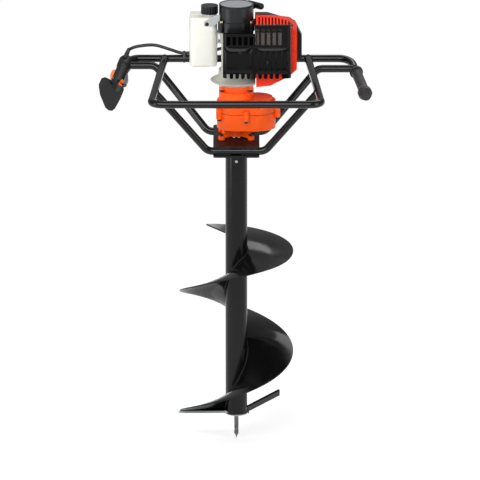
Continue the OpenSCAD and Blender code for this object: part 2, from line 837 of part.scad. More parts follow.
module output_shaft() {
    socket_z = bit_h - socket_depth;
    color("#c9ccd0") difference() {
        union() {
            translate([0, 0, socket_z + 1]) cylinder(d = shaft_d, h = out_wheel_z + wheel_face - socket_z);
            translate([0, 0, out_wheel_z]) gear(wheel_z, wheel_face);
            translate([0, 0, out_wheel_z - 1.5]) cylinder(d = shaft_d + 8, h = 2);
        }
        along_y([0, -shaft_d, bit_h - socket_depth / 2])
            cylinder(d = lock_pin_d + 2 * seat, h = 2 * shaft_d);
    }
}

module layshaft() {
    color("#c9ccd0") translate([centre, 0, 0]) {
        translate([0, 0, case_z + 3.5])
            cylinder(d = small_shaft_d, h = lay_roof_z + bearing_h - 4 - case_z - 3.5);
        translate([0, 0, out_wheel_z - 1]) rotate([0, 0, 180 / pinion_z * (1 + pinion_z % 2)])
            gear(pinion_z, wheel_face + 3);
        translate([0, 0, lay_wheel_z]) rotate([0, 0, 180 / wheel_z * (1 + wheel_z % 2)])
            gear(wheel_z, wheel_face);
    }
}

module input_shaft() {
    color("#c9ccd0") {
        translate([0, 0, lay_wheel_z - 1]) gear(pinion_z, wheel_face + 2);
        translate([0, 0, lay_wheel_z]) cylinder(d = small_shaft_d, h = drum_z + 9 - lay_wheel_z);
    }
}

module clutch_drum() {
    wall = 3;
    color("#9a9da0") difference() {
        translate([0, 0, drum_z]) {
            ring(2 * drum_r, wall, 19);
            cylinder(r = drum_r, h = wall);
            cylinder(d = small_shaft_d + 12, h = 9);
        }
        translate([0, 0, drum_z - eps]) cylinder(d = small_shaft_d + 2 * seat, h = 20);
    }
}

// Engine
module clutch_shoes() {
    r = drum_r - 4;
    color("#84878a") for (a = [0, 180]) rotate([0, 0, a]) {
        translate([0, 0, drum_z + 5]) difference() {
            cylinder(r = r, h = 12);
            translate([0, 0, -eps]) cylinder(r = 17, h = 14);
            translate([-r - 1, -r - 1, -eps]) cube([2 * r + 2, r + 4, 14]);
        }
        translate([0, 27, drum_z + 16]) cylinder(d = 8, h = wheel_plate_z - drum_z - 16);
    }
}

module flywheel() {
    r = 46;
    color("#a9acae") difference() {
        translate([0, 0, wheel_plate_z]) {
            cylinder(r = r, h = 5);
            translate([0, 0, -6]) ring(2 * r, 5, 7);
            cylinder(d = crank_d + 14, h = crankcase_z - wheel_plate_z - 1);
            for (a = [0:20:340]) rotate([0, 0, a]) translate([22, -1, 4]) cube([20, 2, 8]);
        }
        translate([0, 0, wheel_plate_z - eps]) cylinder(d = crank_d + 2 * seat, h = 40);
    }
}

module crankshaft() {
    web_r = 31;
    web_t = 12;
    pin_gap = 14;
    color("#b4b7ba") {
        translate([0, 0, wheel_plate_z - 2])
            cylinder(d = crank_d, h = cyl_z - pin_gap / 2 - wheel_plate_z + 3);
        translate([0, 0, cyl_z + pin_gap / 2])
            cylinder(d = crank_d, h = starter_z + 12 - cyl_z - pin_gap / 2);
        for (z = [cyl_z - pin_gap / 2 - web_t, cyl_z + pin_gap / 2])
            translate([0, 0, z]) cylinder(r = web_r, h = web_t);
        translate([-stroke / 2, 0, cyl_z - pin_gap / 2 - 1]) cylinder(d = 11, h = pin_gap + 2);
    }
}

module fan_housing() {
    lip = fan_lip_d / 2;
    w = cover_wall + 0.5;
    low = drum_r + running_gap;
    color("#b9b8ae") translate([0, 0, engine_z]) difference() {
        union() {
            rotate_extrude() polygon([
                [low, 0], [48, 0], [lip - 2, 10], [lip, 12.5], [lip - 2, 14], [lip - 11, 17],
                [lip - 18, 22], [49, 28], [48, fan_h], [crank_d, fan_h], [crank_d, fan_h - w],
                [45, fan_h - w], [45.5, 29], [49, 22], [lip - 16, 16], [lip - 8, 12.5],
                [48, w], [low, w]]);
            at_angles(collar_angles, collar_pcd / 2) cylinder(d = head_d + 5, h = 8);
        }
        at_angles(collar_angles, collar_pcd / 2)
            translate([0, 0, -eps]) cylinder(d = bolt_d + 2 * seat, h = 7 + eps);
        translate([0, 0, -eps]) cylinder(r = low, h = 10);
        translate([shroud_x0 - 2, -lip, -eps]) cube([lip, 2 * lip, fan_h]);
    }
}

module crankcase() {
    half = crankcase_w / 2;
    chamber = 33;
    color("#b9b8ae") difference() {
        translate([0, 0, crankcase_z]) linear_extrude(crankcase_h) rounded(-half, half, -half, half, 12);
        translate([0, 0, cyl_z - 22]) cylinder(r = chamber, h = 44);
        translate([0, 0, crankcase_z - eps]) cylinder(d = crank_d + 8, h = crankcase_h + 2 * eps);
        for (z = [crankcase_z - eps, starter_z - bearing_h - 4])
            translate([0, 0, z])
                cylinder(d = crank_d + 2 * (bearing_wall + seat), h = bearing_h + 4 + eps);
        along_x([0, 0, cyl_z]) cylinder(d = bore_d + 1, h = half + eps);
    }
}

module cylinder_fins() {
    pitch = 7.5;
    fin_t = 2.5;
    for (x = [cylinder_x + 10:pitch:head_end - fin_t])
        translate([x, -fin_y, cyl_z - fin_y]) cube([fin_t, 2 * fin_y, 2 * fin_y]);
}

module cylinder_block() {
    color("#a7a9aa") difference() {
        union() {
            along_x([cylinder_x, 0, cyl_z]) cylinder(d = bore_d + 16, h = head_end - cylinder_x);
            translate([cylinder_x, -36, cyl_z - 36]) cube([6, 72, 72]);
            cylinder_fins();
            along_y([port_x, -fin_y - 4, cyl_z]) cylinder(d = port_d - 2, h = fin_y);
            along_y([port_x, 0, cyl_z]) cylinder(d = port_d - 2, h = fin_y + 4);
        }
        along_x([cylinder_x - eps, 0, cyl_z]) cylinder(d = bore_d, h = head_x - cylinder_x + eps);
        along_x([head_x - eps, 0, cyl_z]) cylinder(d = 14, h = head_end - head_x + 2 * eps);
        along_y([port_x, -fin_y - 5, cyl_z]) cylinder(d = 16, h = 2 * fin_y + 10);
    }
}

module piston() {
    skirt = 36;
    low = cylinder_x + 12;
    color("#cfd1d2") difference() {
        along_x([low, 0, cyl_z]) cylinder(d = bore_d - 2 * run_fit, h = skirt);
        along_x([low - eps, 0, cyl_z]) cylinder(d = bore_d - 10, h = skirt - 5);
    }
}

module muffler() {
    half_z = 52;
    x0 = shroud_x0;
    x1 = guard_right - 10;
    y0 = guard_front + cover_wall;
    y1 = -shroud_y - 4;
    color("#3b3c3e") difference() {
        union() {
            translate([0, 0, cyl_z - half_z]) linear_extrude(2 * half_z + 10) rounded(x0, x1, y0, y1, 8);
            along_y([port_x, y1 - 1, cyl_z]) cylinder(d = port_d - 2, h = shroud_y - fin_y + 1);
        }
        along_y([port_x, y1 - 8, cyl_z]) cylinder(d = 16, h = 30);
    }
}

module u_guard(z0, z1, x0, x1) {
    r = 14;
    translate([0, 0, z0]) linear_extrude(z1 - z0) intersection() {
        difference() {
            rounded(-guard_left, guard_right, guard_front, guard_back + 2 * r, r);
            rounded(-guard_left + cover_wall, guard_right - cover_wall, guard_front + cover_wall,
                guard_back + 2 * r, r - cover_wall);
        }
        translate([x0, guard_front - eps]) square([x1 - x0, guard_back - guard_front + eps]);
    }
}

module muffler_guard() {
    slot = 10;
    step_x = shroud_x0 - 4;
    color("#141517") difference() {
        union() {
            u_guard(guard_z, guard_step_z, -guard_left - eps, guard_right + eps);
            u_guard(guard_step_z - eps, guard_top_z, step_x, guard_right + eps);
        }
        for (x = [-guard_left + 16:guard_pitch:guard_right - 16]) {
            top = x < step_x ? guard_step_z - 8 : guard_top_z - 10;
            translate([x - slot / 2, guard_front - eps, guard_step_z - 32])
                cube([slot, 16, top - guard_step_z + 32]);
            translate([x - slot / 2, guard_front - eps, guard_z - eps]) cube([slot, 16, 12 + eps]);
        }
    }
}

// Side view of the shroud, moved inward by k
function shroud_side(k) = let (x0 = shroud_x0 - (k > 0 ? eps : 0), x1 = shroud_x - k,
    top = shroud_z + shroud_h)
    [[x0, shroud_z + k], [shroud_x0 + 38, shroud_z + 4 + k], [shroud_x - 23, shroud_z + 29 + 1.2 * k],
    [x1, shroud_z + 50 + k / 2], [x1, top - 34 - k / 2], [shroud_x - 23, top - 13 - 1.1 * k],
    [shroud_x0 + 52, top - 3 - k], [x0, top - k]];

// End view of the shroud, moved inward by k
function shroud_end(k) = let (top = shroud_z + shroud_h, low = shroud_z - eps)
    [[-shroud_y + k, low], [shroud_back - k, low], [shroud_back - k, top - 18 - k],
    [4, top - k], [-6, top - k], [-shroud_y + k, top - 24 - k]];

module shroud_solid(k) {
    intersection() {
        translate([0, shroud_back + eps, 0]) rotate([90, 0, 0])
            linear_extrude(shroud_y + shroud_back + 2 * eps) polygon(shroud_side(k));
        rotate([90, 0, 90]) linear_extrude(shroud_x + eps) polygon(shroud_end(k));
    }
}

module shroud() {
    louvre = 9;
    top = shroud_z + shroud_h;
    color("#f04a1e") difference() {
        shroud_solid(0);
        shroud_solid(cover_wall);
        for (x = [shroud_x0 + 6:louvre:shroud_x - 10])
            translate([x, -shroud_y + 9, top - 44]) cube([4.5, 32, 60]);
        along_y([port_x, -shroud_y - eps, cyl_z]) cylinder(d = port_d, h = 20);
        along_y([port_x, shroud_back - 10, cyl_z]) cylinder(d = port_d, h = 20);
    }
}

module spark_plug() {
    color("#d8d6cf") along_x([head_x + 1, 0, cyl_z]) {
        cylinder(d = 14 - 2 * seat, h = head_end - head_x - 1);
        translate([0, 0, head_end - head_x - 1]) cylinder(d = 19, h = 8, $fn = 6);
        translate([0, 0, head_end - head_x + 6]) cylinder(d = 9, h = 14);
    }
}

module plug_boot() {
    color("#1c1c1e") along_x([head_end + 9, 0, cyl_z]) difference() {
        cylinder(d = 18, h = 18);
        translate([0, 0, -eps]) cylinder(d = 9 + 2 * seat, h = 12 + eps);
    }
}

module carburettor() {
    color("#9fa3a6") difference() {
        union() {
            translate([port_x - carb_half, carb_y, cyl_z - carb_half])
                cube([2 * carb_half, carb_depth, 2 * carb_half]);
            along_y([port_x, fin_y + 4, cyl_z]) cylinder(d = port_d - 2, h = carb_y - fin_y - 3);
        }
        along_y([port_x, fin_y, cyl_z]) cylinder(d = 16, h = carb_depth + 20);
        translate([port_x - 12, carb_y + 13, cyl_z + 8]) cylinder(d = 5 + 2 * run_fit, h = carb_half);
    }
}

module throttle_arm() {
    color("#c9ccd0") translate([port_x - 12, carb_y + 13, cyl_z + 9]) {
        cylinder(d = 5, h = 16);
        translate([0, 0, 12]) linear_extrude(3) rotate(200) lobe(5, 3, 11);
    }
}

// Side view of the air cleaner, moved inward by k
function cleaner_side(k) = let (x0 = port_x - 26 + k, x1 = cleaner_x - k, z0 = cleaner_z + k,
    z1 = cleaner_z + cleaner_h - k)
    [[x0, z0 + 6], [cleaner_x - 36, z0], [x1, z0 + 34], [x1, z1 - 60], [cleaner_x - 19, z1 - 23],
    [x0 + 34, z1], [x0, z1]];

module cleaner_slab(y0, y1, k) {
    translate([0, y1, 0]) rotate([90, 0, 0]) linear_extrude(y1 - y0) polygon(cleaner_side(k));
}

choke_at = [port_x - 30, cleaner_y, cleaner_z + cleaner_h - 22];

module air_base() {
    color("#1d1e20") difference() {
        union() {
            cleaner_slab(cleaner_y, cleaner_y + base_t, 0);
            along_y(choke_at) cylinder(d = 20, h = base_t);
        }
        along_y([port_x, cleaner_y - eps, cyl_z]) cylinder(d = 22, h = base_t + 2 * eps);
        along_y(choke_at - [0, eps, 0]) cylinder(d = 5 + 2 * run_fit, h = base_t + 2 * eps);
        along_y([knob_x, cleaner_y - eps, cyl_z]) cylinder(d = 6 + 2 * run_fit, h = base_t + 2 * eps);
    }
}

module choke_lever() {
    color("#26282a") {
        along_y(choke_at - [0, 0.5, 0]) cylinder(d = 5, h = base_t + 0.5);
        along_y(choke_at - [0, 4.3, 0]) linear_extrude(4) rotate(180) lobe(8, 4, 26);
    }
}

knob_x = port_x + 52;

module air_cover() {
    y0 = cleaner_y + base_t + 0.3;
    y1 = y0 + cleaner_depth;
    color("#1d1e20") difference() {
        union() {
            cleaner_slab(y0, y1 - 8, 0);
            cleaner_slab(y1 - 9, y1, 8);
        }
        cleaner_slab(y0 - eps, y1 - 8 - cover_wall, cover_wall);
        cleaner_slab(y1 - 12, y1 - cover_wall, 8 + cover_wall);
        along_y([knob_x, y0, cyl_z]) cylinder(d = 6 + 2 * run_fit, h = cleaner_depth + eps);
    }
}

module air_knob() {
    y1 = cleaner_y + base_t + 0.3 + cleaner_depth;
    color("#151515") difference() {
        union() {
            along_y([knob_x, cleaner_y + 0.5, cyl_z]) cylinder(d = 6, h = y1 + 1 - cleaner_y);
            along_y([knob_x, y1 + 0.3, cyl_z]) cylinder(d = 26, h = 12);
        }
        for (a = [0:45:315])
            along_y([knob_x + 15 * cos(a), y1, cyl_z + 15 * sin(a)]) cylinder(d = 7, h = 14);
    }
}

starter_angles = [39, 141, 219, 321];
starter_pcd = drum_d + 10;

module recoil_housing() {
    roof = 3;
    wall = 4;
    color("#20262b") translate([0, 0, starter_z]) difference() {
        union() {
            cylinder(d = drum_d + 6, h = flange_h);
            at_angles(starter_angles, starter_pcd / 2) cylinder(d = 13, h = flange_h);
            cylinder(d = drum_d, h = starter_h - roof);
            along(outlet - [0, 0, starter_z] - 7 * pull_dir, pull_dir) cylinder(d = rope_d + 8, h = 10);
        }
        translate([0, 0, -eps]) cylinder(d = drum_d - 2 * wall, h = pulley_z - starter_z - 2 + eps);
        translate([0, 0, pulley_z - starter_z - 3]) difference() {
            cylinder(d = drum_d - 2 * wall, h = starter_top - pulley_z - roof);
            cylinder(r = post_r, h = starter_h);
        }
        along(outlet - [0, 0, starter_z] - 30 * pull_dir, pull_dir) cylinder(d = rope_d + 1.6, h = 60);
        at_angles(starter_angles, starter_pcd / 2)
            translate([0, 0, flange_h - 14]) cylinder(d = bolt_d - 1 + 2 * seat, h = 20);
    }
}

module recoil_disc() {
    color("#3b4248") translate([0, 0, starter_top - 3]) cylinder(d = drum_d - 6, h = 3);
}

module starter_screws() {
    color("#d9c68a") at_angles(starter_angles, starter_pcd / 2)
        translate([0, 0, starter_z + flange_h]) bolt(bolt_d - 1, 12, head_d - 1);
}

module starter_pulley() {
    color("#2c2f31") translate([0, 0, pulley_z]) rotate_extrude() polygon([
        [post_r + run_fit, 0], [pulley_d / 2, 0], [pulley_d / 2, 3], [pulley_d / 2 - 9, 6],
        [pulley_d / 2 - 9, pulley_h - 6], [pulley_d / 2, pulley_h - 3], [pulley_d / 2, pulley_h],
        [post_r + run_fit, pulley_h]]);
}

module starter_handle() {
    bar = [-sin(45), cos(45), 0];
    mid = outlet + 26 * pull_dir;
    r = 9;
    color("#1b1d1f") difference() {
        union() {
            along(outlet + 5 * pull_dir, pull_dir) cylinder(r1 = 6, r2 = r, h = 21);
            along(mid - pull_l / 2 * bar, bar) capsule(pull_l, r);
        }
        along(outlet, pull_dir) cylinder(d = rope_d + 2 * seat, h = 20);
    }
}

module starter_rope() {
    color("#d8d4c8") along(outlet - 12 * pull_dir, pull_dir) cylinder(d = rope_d, h = 31);
}

// Tank's form, moved inward by k, with rounded edges on all sides
module tank_form(k) {
    x0 = tank_x - tank_w + k;
    x1 = tank_x - k;
    y0 = tank_y - tank_depth / 2 + k;
    y1 = tank_y + tank_depth / 2 - k;
    z0 = tank_z + k;
    z1 = tank_z + tank_h - k;
    intersection() {
        translate([0, 0, z0 - eps]) linear_extrude(z1 - z0 + 2 * eps) rounded(x0, x1, y0, y1, tank_r - k);
        translate([0, y1 + eps, 0]) rotate([90, 0, 0])
            linear_extrude(y1 - y0 + 2 * eps) rounded(x0 - eps, x1 + eps, z0, z1, tank_edge - k + eps);
        translate([x0 - eps, 0, 0]) rotate([90, 0, 90])
            linear_extrude(x1 - x0 + 2 * eps) rounded(y0 - eps, y1 + eps, z0, z1, tank_edge - k + eps);
    }
}

module fuel_tank() {
    top = tank_z + tank_h;
    color("#f2f1ec") difference() {
        union() {
            tank_form(0);
            translate([cap_x, tank_y, top - tank_edge]) cylinder(d = neck_d, h = neck_h + tank_edge);
        }
        tank_form(tank_wall);
        translate([cap_x, tank_y, top - tank_edge - eps])
            cylinder(d = neck_d - 2 * tank_wall, h = neck_h + tank_edge + 2 * eps);
    }
}

module fuel_cap() {
    color("#1a1b1d") translate([cap_x, tank_y, cap_z]) difference() {
        cylinder(d = cap_d, h = cap_h);
        translate([0, 0, -eps]) cylinder(d = neck_d + 2 * run_fit, h = neck_h - 3 + eps);
        for (a = [0:20:340])
            translate((cap_d / 2 + 0.9) * [cos(a), sin(a), 0]) translate([0, 0, -eps])
                cylinder(d = 5, h = cap_h - 2.5);
    }
}

module tank_bracket() {
    half = crankcase_w / 2;
    color("#cfd0cc") translate([tank_x, -12, cyl_z + 14]) difference() {
        cube([-half - tank_x, 34, 30]);
        translate([4, -eps, 4]) cube([-half - tank_x - 8, 34 + 2 * eps, 22]);
    }
}

// Bit
module bit_tube() {
    plug = socket_depth + 4;
    color("#131416") difference() {
        translate([0, 0, pilot_h]) cylinder(d = bit_tube_d, h = bit_h - pilot_h);
        translate([0, 0, pilot_h - eps])
            cylinder(d = bit_tube_d - 2 * bit_tube_wall, h = bit_h - plug - pilot_h + eps);
        translate([0, 0, bit_h - plug - eps]) cylinder(d = shaft_d + 2 * seat, h = plug + 2 * eps);
        along_y([0, -bit_tube_d, bit_h - socket_depth / 2])
            cylinder(d = lock_pin_d + 2 * seat, h = 2 * bit_tube_d);
    }
}

module lock_pin() {
    l = bit_tube_d - 1;
    color("#8e9194") along_y([0, -l / 2, bit_h - socket_depth / 2]) cylinder(d = lock_pin_d, h = l);
}

// Height of the flight's middle after n turns up from its foot
flight_foot = pilot_h + 6;
flight_even = 1.15;
flight_bend = 0.2;
function past(n, mark) = pow(max(0, n - mark), 2) / (2 * flight_bend);
function flight_z(n) = flight_foot + flight_pitch * n
    - flight_flatten * (past(n, flight_even) - past(n, flight_even + flight_bend));

module flight() {
    steps = ceil(flight_turns * 48);
    r0 = (bit_tube_d / 2 + seat) / cos(180 * flight_turns / steps);
    r1 = flight_d / 2;
    corners = [[r0, -flight_t / 2], [r1, -flight_t / 2], [r1, flight_t / 2], [r0, flight_t / 2]];
    points = [for (i = [0:steps]) let (n = flight_turns * i / steps, a = 180 + 360 * n) for (c = corners)
        [c[0] * cos(a), c[0] * sin(a), flight_z(n) + c[1]]];
    walls = [for (i = [0:steps - 1], k = [0:3]) let (j = (k + 1) % 4)
        each [[4 * i + k, 4 * i + j, 4 * i + 4 + j], [4 * i + k, 4 * i + 4 + j, 4 * i + 4 + k]]];
    caps = [[3, 2, 1, 0], [for (k = [0:3]) 4 * steps + k]];
    color("#131416") polyhedron(points, concat(walls, caps));
}

blade_tilt = 15;

module blade_left() {
    reach = flight_d / 2 + 4;
    color("#c8cacc") difference() {
        translate([0, 0, flight_foot - flight_t / 2 - seat]) rotate([-blade_tilt, 0, 0])
            translate([-reach, -blade_w * 0.45, 0]) rotate([90, 0, 90]) linear_extrude(reach)
                polygon([[0, 0], [0, -blade_t], [blade_w - 8, -blade_t], [blade_w, -1], [blade_w - 2, 0]]);
        cylinder(d = bit_tube_d + 2 * seat, h = bit_h);
    }
}

module blade_right() {
    run = unit([107, 60, 40]);
    across = unit(0.5 * cross([0, 0, 1], run) + [0, 0, -0.8]);
    up = cross(run, across);
    color("#2b2c2e") difference() {
        axes([20, -4, pilot_h + 6], run, unit(cross(up, run)), up)
            translate([0, -blade_w * 0.3, -blade_t / 2]) cube([blade_right_len, blade_w * 0.6, blade_t]);
        cylinder(d = bit_tube_d + 2 * seat, h = bit_h);
    }
}

module pilot_drill() {
    foot = bit_tube_d - 2 * bit_tube_wall;
    flute_h = 30;
    point_h = 10;
    color("#8b8e92") {
        translate([0, 0, pilot_h]) cylinder(d = foot - 2 * seat, h = 12);
        translate([0, 0, point_h + flute_h]) cylinder(d = pilot_d, h = pilot_h - point_h - flute_h + 1);
        translate([0, 0, point_h]) linear_extrude(flute_h, twist = -360, slices = 14) difference() {
            circle(d = pilot_d, $fn = 16);
            for (s = [-1, 1]) translate([s * pilot_d * 0.46, 0]) circle(d = pilot_d * 0.5, $fn = 10);
        }
        cylinder(d1 = 1, d2 = pilot_d * 0.6, h = point_h + 1);
    }
}

front_loop();
back_bar();
front_cradle();
rear_cradle();
top_plate();
lower_plate();
grip_right();
handle_front();
handle_back();
handle_screws();
trigger();
lock_lever();
stop_switch();
push_knob();
throttle_cable();
cable_tie();
case_lower();
case_upper();
case_bolts();
foot_bolts();
collar_bolts();
bearings();
output_shaft();
layshaft();
input_shaft();
clutch_drum();
clutch_shoes();
flywheel();
crankshaft();
fan_housing();
crankcase();
cylinder_block();
piston();
muffler();
muffler_guard();
shroud();
spark_plug();
plug_boot();
carburettor();
throttle_arm();
choke_lever();
air_base();
air_cover();
air_knob();
recoil_housing();
recoil_disc();
starter_screws();
starter_pulley();
starter_handle();
starter_rope();
fuel_tank();
fuel_cap();
tank_bracket();
bit_tube();
flight();
blade_left();
blade_right();
pilot_drill();
lock_pin();
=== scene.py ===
"""Dresses the petrol earth auger: finishes for its solids, and the small forms that they leave out."""

from __future__ import annotations

import logging
from dataclasses import dataclass
from enum import Enum
from math import asin, cos, pi, radians, sin, sqrt, tau
from typing import Any, Sequence

import bmesh
import bpy
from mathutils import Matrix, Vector

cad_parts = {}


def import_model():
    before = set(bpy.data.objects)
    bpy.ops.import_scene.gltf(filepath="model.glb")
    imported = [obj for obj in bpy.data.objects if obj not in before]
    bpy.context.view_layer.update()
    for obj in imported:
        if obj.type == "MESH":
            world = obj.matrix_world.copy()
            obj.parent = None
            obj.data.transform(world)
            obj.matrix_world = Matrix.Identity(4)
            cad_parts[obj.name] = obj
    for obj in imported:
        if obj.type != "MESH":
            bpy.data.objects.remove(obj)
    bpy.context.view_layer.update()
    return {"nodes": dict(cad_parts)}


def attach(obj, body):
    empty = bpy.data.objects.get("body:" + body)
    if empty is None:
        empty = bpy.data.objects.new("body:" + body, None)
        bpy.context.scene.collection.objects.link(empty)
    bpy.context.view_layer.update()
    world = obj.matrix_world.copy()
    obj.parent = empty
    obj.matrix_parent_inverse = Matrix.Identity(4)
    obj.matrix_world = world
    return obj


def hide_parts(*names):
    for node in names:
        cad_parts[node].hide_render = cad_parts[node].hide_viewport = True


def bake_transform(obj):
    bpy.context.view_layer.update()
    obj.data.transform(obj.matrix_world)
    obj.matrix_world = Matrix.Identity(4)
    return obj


LOG = logging.getLogger("earth_auger")
MM = 0.001
Pair = tuple[float, float]
Point = tuple[float, float, float]
Tree = bpy.types.NodeTree
Socket = bpy.types.NodeSocket
Outputs = bpy.types.NodeOutputs
Shape = bmesh.types.BMesh
Thing = bpy.types.Object
WHITE = (1.0, 1.0, 1.0, 1.0)
# The middle part of a noise texture's range, where most of its values lie
NOISE_SPAN = (0.3, 0.7)
COAT_ROUGHNESS = 0.06
# How far light travels in milky plastic, in metres for red, green and blue
MILK_RADIUS = (0.012, 0.011, 0.009)
# Along its lines a ground grain is drawn out to this share of its density
GROUND_STRETCH = 0.04


def linear(code: str) -> tuple[float, float, float, float]:
    """Turns an sRGB hex colour into a linear one.

    Args:
        code: Six hex digits after a hash.

    Returns:
        Red, green, blue and an alpha of 1.
    """
    parts = [int(code[i : i + 2], 16) / 255 for i in (1, 3, 5)]
    low = [c / 12.92 if c <= 0.04045 else ((c + 0.055) / 1.055) ** 2.4 for c in parts]
    return (low[0], low[1], low[2], 1.0)


def add(tree: Tree, kind: str, inputs: dict[Any, Any], **settings: Any) -> Outputs:
    """Adds one node with its settings and links.

    Args:
        tree: The node tree it goes into.
        kind: The node's Blender type.
        inputs: A value or another node's output for each named or numbered input.
        settings: The node's own properties.

    Returns:
        The new node's outputs.
    """
    made = tree.nodes.new(kind)
    for name, value in settings.items():
        setattr(made, name, value)
    for key, value in inputs.items():
        if isinstance(value, Socket):
            tree.links.new(value, made.inputs[key])
        else:
            made.inputs[key].default_value = value
    return made.outputs


def bare_tree(owner: bpy.types.Material | bpy.types.World) -> Tree:
    """Returns the emptied node tree of a material or a sky."""
    owner.use_nodes = True
    owner.node_tree.nodes.clear()
    return owner.node_tree


class Grain(Enum):
    """How a surface's fine relief is laid."""

    PEEL = "soft waves of sprayed paint"
    CAST = "grit of a cast skin"
    MOULD = "etched grain of a mould"
    GROUND = "lines left by grinding"


PEEL, CAST, MOULD, GROUND = Grain


@dataclass(frozen=True)
class Finish:
    """One material: what it is, and how its surface was made.

    A grain of relief, patches of a second tone and of roughness, all on object coordinates in metres.
    """

    name: str
    colour: str
    second: str
    roughness: float
    grain: Grain
    grain_mm: float
    relief_mm: float
    patch_mm: float = 35.0
    metallic: float = 0.0
    coat: float = 0.0
    rough_spread: float = 0.08
    ior: float = 1.5
    subsurface: float = 0.0
    sheen: float = 0.0
    lines: Point = (0.0, 0.0, 1.0)

    def build(self) -> bpy.types.Material:
        """Makes the material.

        Returns:
            A material named for the finish.
        """
        found = bpy.data.materials.get(self.name)
        if found is not None:
            return found
        material = bpy.data.materials.new(self.name)
        tree = bare_tree(material)
        surface = self.surface(tree)
        add(tree, "ShaderNodeOutputMaterial", {"Surface": surface[0]})
        material.diffuse_color = linear(self.colour)
        return material

    def surface(self, tree: Tree) -> Outputs:
        """Adds the finish's shader to a tree.

        Args:
            tree: The material's node tree.

        Returns:
            The shader's outputs.
        """
        place = add(tree, "ShaderNodeTexCoord", {})["Object"]
        patch = add(
            tree, "ShaderNodeTexNoise", {"Vector": place, "Scale": 1 / (self.patch_mm * MM), "Detail": 4.0}
        )
        # Inputs 6 and 7 of a mix node are its two colours, and output 2 is the mixed one
        tone = add(
            tree,
            "ShaderNodeMix",
            {"Factor": patch["Fac"], 6: linear(self.colour), 7: linear(self.second)},
            data_type="RGBA",
        )
        rough = add(
            tree,
            "ShaderNodeMapRange",
            {
                "Value": patch["Fac"],
                "From Min": NOISE_SPAN[0],
                "From Max": NOISE_SPAN[1],
                "To Min": max(self.roughness - self.rough_spread, 0.02),
                "To Max": min(self.roughness + self.rough_spread, 1.0),
            },
        )
        bump = add(
            tree,
            "ShaderNodeBump",
            {"Height": self.relief(tree, place), "Distance": self.relief_mm * MM, "Strength": 1.0},
        )
        return add(
            tree,
            "ShaderNodeBsdfPrincipled",
            {
                "Base Color": tone[2],
                "Roughness": rough[0],
                "Normal": bump[0],
                "Metallic": self.metallic,
                "IOR": self.ior,
                "Coat Weight": self.coat,
                "Coat Roughness": COAT_ROUGHNESS,
                "Subsurface Weight": self.subsurface,
                "Subsurface Radius": MILK_RADIUS,
                "Sheen Weight": self.sheen,
            },
        )

    def relief(self, tree: Tree, place: Socket) -> Socket:
        """Adds the height of the finish's grain.

        Args:
            tree: The material's node tree.
            place: The coordinates that the grain is laid on.

        Returns:
            The socket with the height, from 0 to 1.
        """
        scale = 1 / (self.grain_mm * MM)
        if self.grain is GROUND:
            stretch = tuple(GROUND_STRETCH if abs(c) > 0.5 else 1.0 for c in self.lines)
            place = add(tree, "ShaderNodeMapping", {"Vector": place, "Scale": stretch})[0]
        if self.grain is MOULD:
            inputs = {"Vector": place, "Scale": scale}
            return add(tree, "ShaderNodeTexVoronoi", inputs, feature="SMOOTH_F1")["Distance"]
        detail = 5.0 if self.grain is CAST else 1.5
        return add(tree, "ShaderNodeTexNoise", {"Vector": place, "Scale": scale, "Detail": detail})["Fac"]


@dataclass(frozen=True)
class GroundEdge(Finish):
    """Painted steel whose cutting edge is ground bright past a plane."""

    bright: str = "#C9CCCE"
    normal: Point = (0.0, 0.0, -1.0)
    through: Point = (0.0, 0.0, 0.0)
    wander_mm: float = 1.2
    wander_every_mm: float = 9.0
    fade_mm: float = 0.6
    line_mm: float = 1.4
    line_depth_mm: float = 0.12
    line_strength: float = 0.7
    line_stretch: Point = (1.0, 0.05, 1.0)
    steel_roughness: float = 0.34

    def surface(self, tree: Tree) -> Outputs:
        """Adds the paint and the ground strip to a tree.

        Args:
            tree: The material's node tree.

        Returns:
            The outputs of the shader that mixes the two.
        """
        paint = super().surface(tree)
        place = add(tree, "ShaderNodeTexCoord", {})["Object"]
        far = add(
            tree,
            "ShaderNodeVectorMath",
            {0: place, 1: tuple(MM * c for c in self.through)},
            operation="SUBTRACT",
        )
        deep = add(tree, "ShaderNodeVectorMath", {0: far[0], 1: self.normal}, operation="DOT_PRODUCT")
        every = 1 / (self.wander_every_mm * MM)
        noise = add(tree, "ShaderNodeTexNoise", {"Vector": place, "Scale": every, "Detail": 3.0})
        edge = add(
            tree,
            "ShaderNodeMath",
            {0: noise["Fac"], 1: 2 * self.wander_mm * MM, 2: deep["Value"]},
            operation="MULTIPLY_ADD",
        )
        share = add(
            tree, "ShaderNodeMapRange", {"Value": edge[0], "From Min": 0.0, "From Max": self.fade_mm * MM}
        )
        along = add(tree, "ShaderNodeMapping", {"Vector": place, "Scale": self.line_stretch})
        fine = 1 / (self.line_mm * MM)
        lines = add(tree, "ShaderNodeTexNoise", {"Vector": along[0], "Scale": fine, "Detail": 2.0})
        bump = add(
            tree,
            "ShaderNodeBump",
            {"Height": lines["Fac"], "Distance": self.line_depth_mm * MM, "Strength": self.line_strength},
        )
        steel = add(
            tree,
            "ShaderNodeBsdfPrincipled",
            {
                "Base Color": linear(self.bright),
                "Metallic": 1.0,
                "Roughness": self.steel_roughness,
                "Normal": bump[0],
            },
        )
        return add(tree, "ShaderNodeMixShader", {0: share[0], 1: paint[0], 2: steel[0]})


# Gloss black stoving enamel over bent tube: near-black, sharp streaks of light, faint orange peel
FRAME_ENAMEL = Finish("stoved_enamel_black", "#08090A", "#0B0C0E", 0.13, PEEL, 2.6, 0.01, ior=1.4)
# The same enamel on rolled plate, sprayed thinner, so a softer gloss
DECK_ENAMEL = Finish("satin_enamel_black", "#0B0C0D", "#101112", 0.44, PEEL, 2.2, 0.02, ior=1.34)
